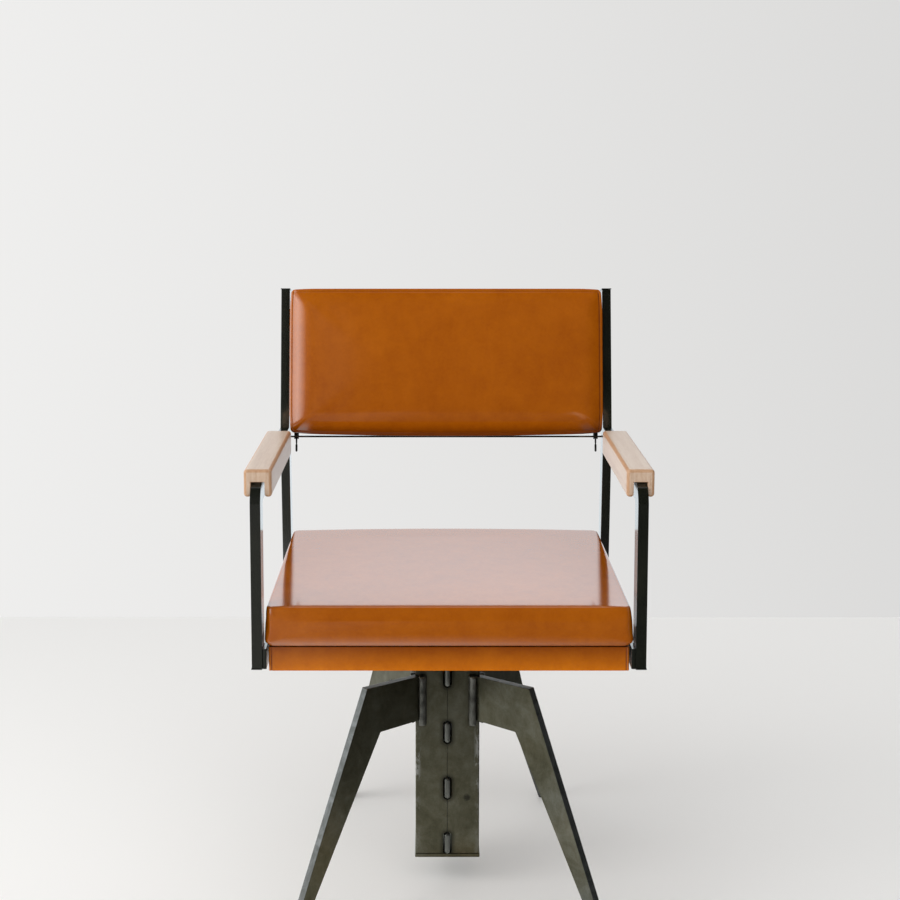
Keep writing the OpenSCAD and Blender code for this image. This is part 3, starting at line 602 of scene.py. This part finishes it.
def make_web():
    """The web inside the column, its tabs rounded to pills that stand in the slots."""
    web = merged("web_with_tabs", "column_web")
    proud = COLUMN_HALF + 0.5 * MM
    half_thick, half_tall = TAB_WIDE / 2, TAB_TALL / 2
    straight = half_tall - half_thick
    root, shoulder, dome = proud * 0.94, proud + 1 * MM, 2.3 * MM
    nearly = 0.97       # of the whole turn, so that no face closes to a point
    turns = half_thick * np.array((-nearly, -0.88, -0.70, -0.45, -0.2, 0.0))
    for k in range(TAB_COUNT):
        centre = TAB_FOOT + k * TAB_PITCH
        slice_at(web, Z, np.concatenate((centre - straight + turns, centre + straight - turns)))
    slice_at(web, X, half_thick * np.array((-0.92, -0.75, -0.45, 0, 0.45, 0.75, 0.92)))
    slice_at(web, Y, AXIS_Y + proud * np.array((-1, -0.95, 0.95, 1)))

    def pills(p, n):
        q = p.copy()
        out = np.abs(p[:, Y] - AXIS_Y)
        turn = np.clip(np.round((p[:, Z] - TAB_FOOT) / TAB_PITCH), 0, TAB_COUNT - 1)
        off = np.abs(p[:, Z] - TAB_FOOT - turn * TAB_PITCH)
        past = np.clip((off - straight) / half_thick, 0, 1)
        tab = out > root
        q[:, X] = np.where(tab, p[:, X] * np.sqrt(1 - (nearly * past) ** 2), p[:, X])
        reach = np.clip(np.hypot(q[:, X] / half_thick, past), 0, 1)
        inward = np.sign(p[:, Y] - AXIS_Y) * dome * (1 - np.sqrt(1 - nearly * reach ** 2))
        q[:, Y] -= np.where(out > shoulder, inward, 0)
        return q

    shape(web, pills)
    smooth(web, 50)
    hang(web, "base", TAB, "worn_steel", "column_web")


def make_welds():
    """Upright fillet beads at the roots of the legs, laid in ripples."""
    beads = merged("weld_bead_set", "leg_welds")
    low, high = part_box("leg_welds")
    ripple = 3.4 * MM
    slice_at(beads, Z, np.arange(low.z + 2 * MM, high.z - 2 * MM, ripple / 2))
    for first, last in ((36, 50), (-49, -35)):
        slice_at(beads, X, np.arange(first, last, 1.5) * MM)
    # how far the surface moves out, and in at the middle, in millimetres
    fill, wave_high, uneven_high, middle_deep = 1.5, 0.16, 0.25, 2.2

    def swollen(p, n):
        grow = np.zeros(len(p))
        for side in (-1, 1):
            for end in (-1, 1):
                bead = (np.sign(p[:, X]) == side) & (np.sign(p[:, Y] - AXIS_Y) == end)
                across, up = p[bead, X], p[bead, Z]
                spine = (across.min() + across.max()) / 2
                wander = 0.9 * np.sin(up * 170.0)
                wave = np.sin((up - low.z) / ripple * 2 * math.pi + wander)
                uneven = np.sin(up * 310.0 + side * 2.0)
                hollow = bell(across - spine, 1.5 * MM)
                grow[bead] = (fill + wave_high * wave + uneven_high * uneven
                              - middle_deep * hollow) * MM
        return p + n * grow[:, None]

    shape(beads, swollen)
    apply(beads, "SUBSURF", levels=1, render_levels=1)
    smooth(beads, 60)
    hang(beads, "base", WELD, "worn_steel", "leg_welds")


def make_base():
    """All that stands still: column, web, beads, plates, legs, feet and bearing."""
    for side in ("left", "right"):
        dress("column_shell_" + side, "column_" + side, 0.5, "base", COLUMN, "base_steel", 3)
    make_web()
    make_welds()
    dress("column_cap", "column_base_cap", 0.8, "base", PLATE, "base_steel", 3)
    dress("column_head", "column_top_plate", 0.8, "base", PLATE, "base_steel")
    for end in ("front_left", "front_right", "rear_left", "rear_right"):
        make_leg(end)
    dress("foot_pad_set", "foot_pads", 0.8, "base", RUBBER, "rubber")
    for node, finish in (("spindle_housing", PLATE), ("bush_upper", BRONZE),
                         ("bush_lower", BRONZE), ("thrust_washer", ZINC)):
        coat(node, finish)


# Seat frame

def make_seat_frame():
    """The tubes, plates, boards and screws that turn with the seat."""
    for side in ("left", "right"):
        for name, node, radius, segments in (("bent_arm_", "arm_frame_", 1.5, 3),
                                             ("reclined_post_", "rear_post_", 1.5, 3),
                                             ("flat_rail_", "side_rail_", 0.8, 2)):
            dress(name + side, node + side, radius, "seat", TUBE, "frame_steel", segments)
    for end in ("front", "rear"):
        dress("seat_bearer_" + end, "cross_tube_" + end, 1.2, "seat", TUBE, "frame_steel", 3)
    for name, node, radius, finish, slot in (
            ("top_cap_pair", "post_top_caps", 0.4, TUBE, "frame_steel"),
            ("bottom_cap_set", "post_bottom_caps", 0.4, TUBE, "frame_steel"),
            ("lower_back_rail", "back_rail_lower", 0.4, TUBE, "frame_steel"),
            ("upper_back_rail", "back_rail_upper", 0.6, TUBE, "frame_steel"),
            ("swivel_plate", "seat_plate", 0.8, PLATE, "base_steel"),
            ("swivel_spindle", "spindle", 0.8, ZINC, "bright_steel"),
            ("plate_bolt_set", "seat_plate_bolts", 0.5, ZINC, "bright_steel"),
            ("plate_nut_set", "seat_plate_nuts", 0.5, ZINC, "bright_steel"),
            ("back_screw_set", "back_screws", 0.6, ZINC, "bright_steel"),
            ("armrest_screw_set", "armrest_screws", 0.6, ZINC, "bright_steel"),
            ("stud_nut_set", "back_stud_nuts", 0.5, DARK_ZINC, "bright_steel"),
            ("seat_ply", "seat_board", 0.5, SEAT_PLY, "plywood"),
            ("back_ply", "back_board", 0.5, BACK_PLY, "plywood")):
        dress(name, node, radius, "seat", finish, slot)
    for node in ("spindle_washer", "spindle_nut", "seat_board_screws"):
        coat(node, ZINC)


def make_studs():
    """Threaded studs under the back: a thin shank, a pinch, and a thicker rounded end."""
    foot, head, out, depth = -30.5 * MM, 21.2 * MM, 256.5 * MM, 17 * MM
    pitch, thread_foot = 0.7 * MM, -17 * MM
    deep_thread, faint_thread = 0.16 * MM, 0.05 * MM
    heights = (-30.5, -30.25, -29.9, -29.4, -28.7, -18.6, -17.6, -16.4, -15.2, 21.2)
    radii = (0.7, 1.15, 1.5, 1.72, 1.8, 1.8, 1.05, 1.05, 1.45, 1.45)
    for side in (-1, 1):
        bpy.ops.object.select_all(action="DESELECT")
        bpy.ops.mesh.primitive_cylinder_add(vertices=20, radius=1, depth=head - foot,
                                            location=(side * out, depth, (foot + head) / 2))
        stud = bpy.context.object
        stud.name = "back_stud_left" if side < 0 else "back_stud_right"
        placed(stud)
        slice_at(stud, Z, np.concatenate((foot + np.array((0.25, 0.6, 1.1, 1.8)) * MM,
                                          np.arange(foot + 3 * MM, head - 1 * MM, pitch / 2))))

        def turned(p, n):
            radius = np.interp(p[:, Z] / MM, heights, radii) * MM
            thread = np.where(p[:, Z] > thread_foot, deep_thread, faint_thread) \
                * np.cos((p[:, Z] - foot) / pitch * 2 * math.pi)
            axis = (side * out, depth)
            q = p.copy()
            q[:, :2] = (p[:, :2] - axis) * (radius + thread)[:, None] + axis
            return q

        shape(stud, turned)
        stud.data.transform(ON_BACK)
        smooth(stud, 50)
        hang(stud, "seat", DARK_ZINC, "bright_steel", "back_studs")


# Armrests

def make_armrest(side):
    """A beech bar with a groove underneath for the arm tube, its outer edges rounded over."""
    low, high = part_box("armrest_" + side)
    centre = (low.x + high.x) / 2
    groove_half, cover = 10 * MM, 18 * MM
    round_over, arris = 7.5 * MM, 0.7 * MM
    groove_top = high.z - cover
    bar = block("armrest_bar_" + side, (low.x, low.y, groove_top), high)
    slice_at(bar, X, (centre - groove_half, centre + groove_half))
    pick(bar, "faces", lambda face: face.normal.z < -0.9
         and abs(face.calc_center_median().x - centre) > groove_half)
    bpy.ops.mesh.extrude_region_move(
        TRANSFORM_OT_translate={"value": (0, 0, low.z - groove_top)})

    def outer(point):
        return [min(abs(point[k] - low[k]), abs(point[k] - high[k])) < TOUCH for k in (X, Y, Z)]

    def rim(edge):
        a, b = (outer(v.co) for v in edge.verts)
        return sum(x and y for x, y in zip(a, b)) >= 2 and edge.calc_face_angle(0) > 1

    pick(bar, "edges", rim)
    bpy.ops.mesh.bevel(offset=round_over, segments=8, affect="EDGES", clamp_overlap=True)
    bpy.ops.object.mode_set(mode="OBJECT")
    apply(bar, "BEVEL", width=arris, segments=2, limit_method="ANGLE",
          angle_limit=math.radians(50))
    slice_at(bar, Y, np.linspace(low.y, high.y, 14)[1:-1])
    smooth(bar)
    normals = np.abs(face_normals(bar))
    flat, facing_end = 0.985, 0.75
    # the rim mask carries wear from hands and painted shade on the rounded edges
    mark(bar, "rim", normals.max(axis=1) < flat, "FACE")
    mark(bar, "end", normals[:, Y] > facing_end, "FACE")
    hang(bar, "seat", BEECH, "beech", "armrest_" + side)


# Leather

def swell(piece, pressure, cap, held, give):
    """Inflates a piece as cloth. Points that pass held keep still, and give says how much of its
    move each point takes. All moves are scaled alike, so that hardly any is larger than the cap."""
    only(piece)
    mesh = piece.data
    rest = points(mesh)
    pins = piece.vertex_groups.new(name="held")
    pins.add([int(i) for i in np.nonzero(held(rest))[0]], 1.0, "ADD")
    cloth = piece.modifiers.new("cloth", "CLOTH")
    cloth.settings.use_pressure = True
    cloth.settings.uniform_pressure_force = pressure
    cloth.settings.effector_weights.gravity = 0
    cloth.settings.vertex_group_mass = "held"
    cloth.settings.quality = 5
    cloth.settings.tension_stiffness = 15
    cloth.settings.compression_stiffness = 15
    cloth.settings.shear_stiffness = 5
    cloth.settings.bending_stiffness = 0.6
    first, last = 1, 20
    cloth.point_cache.frame_start = first
    cloth.point_cache.frame_end = last
    scene = bpy.context.scene
    for step in range(first, last + 1):
        scene.frame_set(step)
    shaped = piece.evaluated_get(bpy.context.evaluated_depsgraph_get())
    move = (points(shaped.data) - rest) * give(rest)
    piece.modifiers.remove(cloth)
    piece.vertex_groups.remove(pins)
    scene.frame_set(first)
    length = np.linalg.norm(move, axis=1)
    move *= min(1.0, cap / np.percentile(length, 99.5))
    mesh.vertices.foreach_set("co", (rest + move).ravel())
    mesh.update()


def cushion_blank(name, low, high, axis, face, corner, roll, loops, cuts):
    """A box with rounded corners along one axis, a rolled rim round its face, and a grid of
    cuts."""
    pad = block(name, low, high)
    pick(pad, "edges",
         lambda edge: abs((edge.verts[0].co - edge.verts[1].co)[axis]) > 10 * MM)
    bpy.ops.mesh.bevel(offset=corner, segments=6, affect="EDGES")
    pick(pad, "edges", lambda edge: all(abs(v.co[axis] - face) < TOUCH for v in edge.verts))
    bpy.ops.mesh.bevel(offset=roll, segments=loops, affect="EDGES")
    bpy.ops.object.mode_set(mode="OBJECT")
    for cut_axis, places in cuts:
        slice_at(pad, cut_axis, places)
    return pad


def make_seat_cushion():
    """Box cushion: a nearly flat top, a crisp top edge, and a band that bellies out low down."""
    low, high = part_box("seat_cushion")
    top = high.z - 4 * MM
    tall = top - low.z
    corner, roll, gap = 10 * MM, 3.4 * MM, 9 * MM
    heights = np.array((0.03, 0.055, 0.08, 0.11, 0.15, 0.22, 0.32, 0.44, 0.56, 0.68, 0.80, 0.90))
    pad = cushion_blank("seat_pad", low, (high.x, high.y, top), Z, top, corner, roll, 4, (
        (X, grid(low.x + corner, high.x - corner, gap)),
        (Y, grid(low.y + corner, high.y - corner, gap)),
        (Z, low.z + heights * tall)))
    centre = (low + high) / 2
    half = np.array((high.x - centre.x, high.y - centre.y))
    # how far up the band a place is, and how far in the band lies there
    levels = (0, 0.03, 0.055, 0.08, 0.11, 0.15, 0.22, 0.32, 0.44, 0.68, 0.85, 0.95, 1)
    insets = np.array((7.2, 4.7, 3.1, 2.6, 0.6, 0.1, 0.2, 0.7, 1.3, 2.2, 3.2, 4.3, 5.0)) * MM

    def raised(p):
        return np.clip((p[:, Z] - low.z) / tall, 0, 1)

    def profile(p, n):
        inset = np.interp(raised(p), levels, insets)
        # the left side is fuller in its upper half
        eased_in = 1 - 0.35 * np.clip((raised(p) - 0.5) / 0.35, 0, 1)
        fuller = np.where(p[:, X] < 0, eased_in, 1)
        q = p.copy()
        q[:, X] -= (p[:, X] - centre[X]) / half[X] * inset * fuller
        q[:, Y] -= (p[:, Y] - centre[Y]) / half[Y] * inset
        return q

    def held(p):
        by_foot = p[:, Z] < low.z + 5 * MM
        by_top = np.abs(p[:, Z] - top) < 3.5 * MM
        by_rim = (np.abs(p[:, X]) > half[X] - 9 * MM) \
            | (np.abs(p[:, Y] - centre.y) > half[Y] - 9 * MM)
        return by_foot | (by_top & by_rim)

    def give(p):
        return np.where(p[:, Z:] > top - 1 * MM, 0.04, 1.0)

    edge_roll, flat_front, rise_run = 8 * MM, 70 * MM, 300 * MM

    def crowned(p, n):
        u = np.clip(np.abs(p[:, X]) / (half[X] - edge_roll), 0, 1)
        v = np.clip(np.abs(p[:, Y] - centre.y) / (half[Y] - edge_roll), 0, 1)
        back = np.clip((p[:, Y] - low.y - flat_front) / rise_run, 0, 1)
        crown = (1 - u ** 2) * 3.2 * back ** 1.3 + (1 - v ** 4) * 0.3
        q = p.copy()
        q[:, Z] += crown * MM * raised(p) ** 4
        return q

    shape(pad, profile)
    # painted shade: the seam mask darkens the foot of the band, where it rolls under into the
    # crease above the skirt
    mark(pad, "seam", bell(raised(points(pad.data)) - 0.015, 0.03))
    swell(pad, 4.0, 2.2 * MM, held, give)
    shape(pad, crowned)
    soften(pad)
    hang(pad, "seat", LEATHER, "leather", "seat_cushion")


def make_back_cushion():
    """Stuffed back pad: a puffed front panel sewn to a band, drawn upright and then leaned
    back."""
    wide, tall, thick = 533 * MM, 247 * MM, 33 * MM
    foot, rear, limit = 1.25 * MM, 10.7 * MM, 267.1 * MM
    front = rear - thick
    corner, roll = 6.5 * MM, 5.0 * MM
    sewn, puff, rise, dome = 5.4 * MM, 33 * MM, 9.0 * MM, 4 * MM
    corner_in, corner_down, sag_deep = 2.2 * MM, 2.0 * MM, 4.5 * MM
    diagonal = 1.4
    mid = foot + tall / 2
    half = np.array((wide / 2, tall / 2))
    close = np.array((5.9, 6.6, 7.4, 8.6, 10.5, 13.0, 16.0, 20.0, 24.5, 30.0)) * MM
    pad = cushion_blank(
        "back_pad", (-half[0], front, foot), (half[0], rear, foot + tall),
        Y, front, corner, roll, 6, (
            (X, grid_with_ends(-half[0], half[0], close, 8 * MM)),
            (Z, mid + grid_with_ends(-half[1], half[1], close, 8 * MM)),
            (Y, grid(front + roll, rear, 5 * MM))))
    rest = points(pad.data)
    # distances in from the sides, and in from the top or the foot
    near = half - np.abs(np.stack((rest[:, X], rest[:, Z] - mid), axis=1))
    face = rest[:, Y] < front + roll
    on_right = rest[:, X] > 0

    # the seam round the front panel is darkened, partly as a dark sewn joint and partly as painted
    # shade: strongest on the right, faint along the top and on the left; along the foot, painted
    # shade darkens the leather
    along_top = rest[:, Z] - mid > half[1] - near[:, 0]
    drawn = np.where(along_top, 0.25, np.where(on_right, 1.0, 0.3))
    groove = bell(near.min(axis=1) - sewn, 0.9 * MM) * face * drawn
    under = bell(np.clip(rest[:, Z] - foot, 0, 1), 13 * MM) * (rest[:, Z] < mid)
    mark(pad, "seam", np.maximum(groove, under * 0.95))

    edge = np.clip(1 - (near - sewn) / puff, 0, 1) ** 2.3
    slope = np.cbrt((edge ** 3).sum(axis=1)) * rise
    on_diagonal = bell((near[:, 0] - near[:, 1]) / diagonal, 2.2 * MM)
    off_corner = bell(near.sum(axis=1) / diagonal - 15 * MM, 8 * MM)
    upper_right = on_right & (rest[:, Z] > mid)
    fold = on_diagonal * off_corner * face * np.where(upper_right, 0.9, 0.35)
    pulled = np.prod(np.clip(1 - near / (40 * MM), 0, 1), axis=1) ** 1.5
    swell(pad, 4.0, 2.4 * MM, lambda p: p[:, Y] > rear - 4 * MM,
          lambda p: np.array((0.3, 1.0, 0.3)))

    def stuffed(p, n):
        ahead = np.clip((rear - p[:, Y]) / thick, 0, 1)
        u, v = (np.clip(1 - near[:, k] / half[k], 0, 1) for k in (0, 1))
        q = p - n * (groove * 0.9 * MM + fold * MM)[:, None]
        q[:, Y] += (slope - (1 - u ** 2) * (1 - v ** 2) * dome) * ahead ** 2
        q[:, X] -= np.sign(p[:, X]) * pulled * corner_in
        q[:, Z] -= np.sign(p[:, Z] - mid) * pulled * corner_down
        low_down = np.clip(1 - (rest[:, Z] - foot) / (60 * MM), 0, 1) ** 2
        sag = low_down * np.clip(-p[:, Y] / (12 * MM), 0, 1)
        q[:, Z] -= sag * (1 - u ** 2) * sag_deep
        q[:, X] = np.clip(q[:, X], -limit, limit)
        return q

    shape(pad, stuffed)
    soften(pad)
    pad.data.transform(ON_BACK)
    hang(pad, "seat", LEATHER, "leather", "back_cushion")


def make_skirt():
    """The leather band under the cushion, sewn with an upright seam near each corner."""
    low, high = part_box("seat_skirt")
    centre = middle("seat_skirt")
    skirt = merged("leather_skirt", "seat_skirt")
    seam, near = high.x - 4.2 * MM, 0.5 * MM
    for side in (-1, 1):
        slice_at(skirt, X, side * (seam + np.array((-1.2, -0.4, 0.4, 1.2)) * MM))

    def creased(p, n):
        on_seam = np.abs(np.abs(p[:, X]) - seam) < near
        on_face = np.minimum(np.abs(p[:, Y] - low.y), np.abs(p[:, Y] - high.y)) < near
        q = p.copy()
        q[:, Y] += np.where(on_seam & on_face, 0.8 * MM, 0) * np.sign(centre.y - p[:, Y])
        return q

    shape(skirt, creased)
    ease(skirt, 1.3 * MM, 3, 50)
    place = points(skirt.data)
    # the seam mask darkens the upright seams; along the top edge, under the cushion, it is painted
    # shade
    mark(skirt, "seam", bell(np.abs(place[:, X]) - seam, 0.9 * MM)
         + bell(place[:, Z] - high.z, 2.5 * MM) * 0.8)
    hang(skirt, "seat", SKIRT_LEATHER_PAINTED_LIGHT, "leather", "seat_skirt")


def make_rear_panel():
    """Leather drawn flat over the rear of the back board, hemmed with a sewn line."""
    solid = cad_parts["back_rear_panel"].data.copy()
    solid.transform(ON_BACK.inverted())
    places = points(solid)
    bpy.data.meshes.remove(solid)
    low, high = places.min(axis=0), places.max(axis=0)
    hem, gap = 7 * MM, 12 * MM
    close = np.array((1.0, 1.7, 2.5, 4.5, 6.3, 7.0, 7.7, 9.5, 13.0)) * MM
    panel = cushion_blank("leather_rear_panel", low, high, Y, high[Y], 5 * MM, 0.9 * MM, 3, (
        (X, grid_with_ends(low[X], high[X], close, gap)),
        (Z, grid_with_ends(low[Z], high[Z], close, gap))))
    place = points(panel.data)
    inside = np.minimum.reduce((place[:, X] - low[X], high[X] - place[:, X],
                                place[:, Z] - low[Z], high[Z] - place[:, Z]))
    seam = bell(inside - hem, 0.6 * MM) * (place[:, Y] > high[Y] - 0.1 * MM)
    mark(panel, "seam", seam)
    shape(panel, lambda p, n: p - n * (seam * 0.5 * MM)[:, None])
    soften(panel)
    panel.data.transform(ON_BACK)
    hang(panel, "seat", LEATHER, "leather", "back_rear_panel")


# Stage, light and camera

def make_stage():
    """A pale floor that ends some way behind the chair, painted a little brighter to the right as
    painted light. What the chair mirrors of it is darker than what is seen of it."""
    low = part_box("foot_pads")[0]
    bpy.ops.object.select_all(action="DESELECT")
    wide, deep, far, just_under = 16.0, 12.0, 1.228, 0.2 * MM
    bpy.ops.mesh.primitive_plane_add(size=1, location=(0, far - deep / 2, 0))
    floor = bpy.context.object
    floor.name = "floor"
    floor.scale = (wide, deep, 1.0)
    placed(floor)
    floor.location.z = min(low.z, 0.0) - just_under
    f = new_finish("pale_floor")
    here = f.place()
    across, into = f.axis(here, "X"), f.axis(here, "Y")
    # the pale tone rises to the right: painted light that makes up for the dimmer light there
    tone = f.ramp(across.step(-1.2, 1.2), FLOOR_TONE_AND_PAINTED_LIGHT)
    glossy = f.node("ShaderNodeLightPath", out="Is Glossy Ray")
    seen = f.node("ShaderNodeLightPath", out="Is Camera Ray")
    front = across.step(-0.45, -0.05, 0.16, 0.03)
    lit = front + into.step(-1.3, -0.25) * across.step(-0.15, 0.50, 1.0, 0.08) * (1 - front)
    f.surface(Base_Color=f.mix(glossy * (1 - lit), tone, BLACK),
              Roughness=0.75, Specular_IOR_Level=0.2,
              Emission_Color=f.mix(seen, BLACK, WARM_WHITE), Emission_Strength=0.04)
    floor.data.materials.append(f.owner)


def make_light():
    """A white room: a bright wall behind the chair and a window to the left. How it lights the
    chair, how it shows in the chair's polish and how it is seen are three levels of their own.
    In the polish, the right and the front are dim."""
    world = bpy.data.worlds.new("room")
    bpy.context.scene.world = world
    f = Finish(world)
    here = f.node("ShaderNodeTexCoord", out="Generated")
    across, into, up = (f.axis(here, name) for name in "XYZ")
    right = across.step(0.25, 0.90)
    behind = into.step(-0.22, 0.16)

    wall = into.step(-0.1, 0.75) * 0.50
    window = (0 - across).step(0.1, 0.95) * 0.62
    facing = (0 - into).step(-0.1, 0.8) * 0.95
    ceiling = up.step(0.1, 0.95) * 0.16
    room = (wall + window + facing + ceiling + 0.12) * (1 - right * 0.30)

    # what the chair mirrors of the room in front of it, from left to right
    levels = ((-1.0, 1.3), (-0.84, 2.0), (-0.62, 0.90), (-0.42, 0.14), (-0.22, 0.04),
              (-0.16, 0.06), (-0.12, 0.085), (-0.10, 0.03), (-0.07, 0.004), (0.6, 0.003))
    front = f.ramp(across * 0.5 + 0.5, [(place * 0.5 + 0.5, (grey, grey, grey))
                                        for place, grey in levels])
    mirrored = (behind * up.step(0.255, 0.33, 1.30, 1.76) + (1 - behind) * front) \
        * (1 - right * 0.96) * up.step(0.35, 0.95, 1.0, 0.38)
    seen = 0.79 - across * 0.24

    camera_ray = f.node("ShaderNodeLightPath", out="Is Camera Ray")
    glossy_ray = f.node("ShaderNodeLightPath", out="Is Glossy Ray")
    level = seen * camera_ray + mirrored * glossy_ray + room * (1 - camera_ray - glossy_ray)
    cool = glossy_ray * behind
    tint = f.node("ShaderNodeCombineColor", None, {0: level * (1 - cool * 0.12),
                                                   1: level * (0.995 - cool * 0.045),
                                                   2: level * (0.985 + cool * 0.01)})
    shader = f.node("ShaderNodeBackground", None, {"Color": tint, "Strength": 1.0})
    f.node("ShaderNodeOutputWorld", None, {"Surface": shader})
    for name, place, aim, size, power in (
            ("window_light", (-2.6, -1.0, 1.45), (0, 0, 0.6), (1.5, 2.5), 34.0),
            ("ceiling_light", (-0.1, -0.4, 3.0), (0, 0, 0.4), (2.4, 2.4), 8.0)):
        lamp = bpy.data.lights.new(name, "AREA")
        lamp.shape = "RECTANGLE"
        lamp.energy = power
        lamp.size, lamp.size_y = size
        lamp.color = (1.0, 0.99, 0.97)
        holder = bpy.data.objects.new(name, lamp)
        bpy.context.scene.collection.objects.link(holder)
        holder.location = place
        holder.rotation_euler = (Vector(aim) - Vector(place)).to_track_quat("-Z", "Y").to_euler()
        holder.visible_glossy = False


def make_camera():
    """The photograph's view, from in front of the chair and looking down a little."""
    down = 6
    lens = bpy.data.cameras.new("camera")
    lens.sensor_width = 36.0
    lens.lens = 56.52
    lens.shift_x = 0.0214
    lens.shift_y = -0.1641
    camera = bpy.data.objects.new("camera", lens)
    bpy.context.scene.collection.objects.link(camera)
    camera.location = (-0.0262, AXIS_Y - 2.1795, 1.1512)
    camera.rotation_euler = (math.radians(90 - down), 0, 0)
    bpy.context.scene.camera = camera
    bpy.context.scene.view_settings.view_transform = "Standard"


make_camera()
make_light()
make_stage()
make_base()
make_seat_frame()
make_studs()
for side in ("left", "right"):
    make_armrest(side)
make_seat_cushion()
make_back_cushion()
make_skirt()
make_rear_panel()
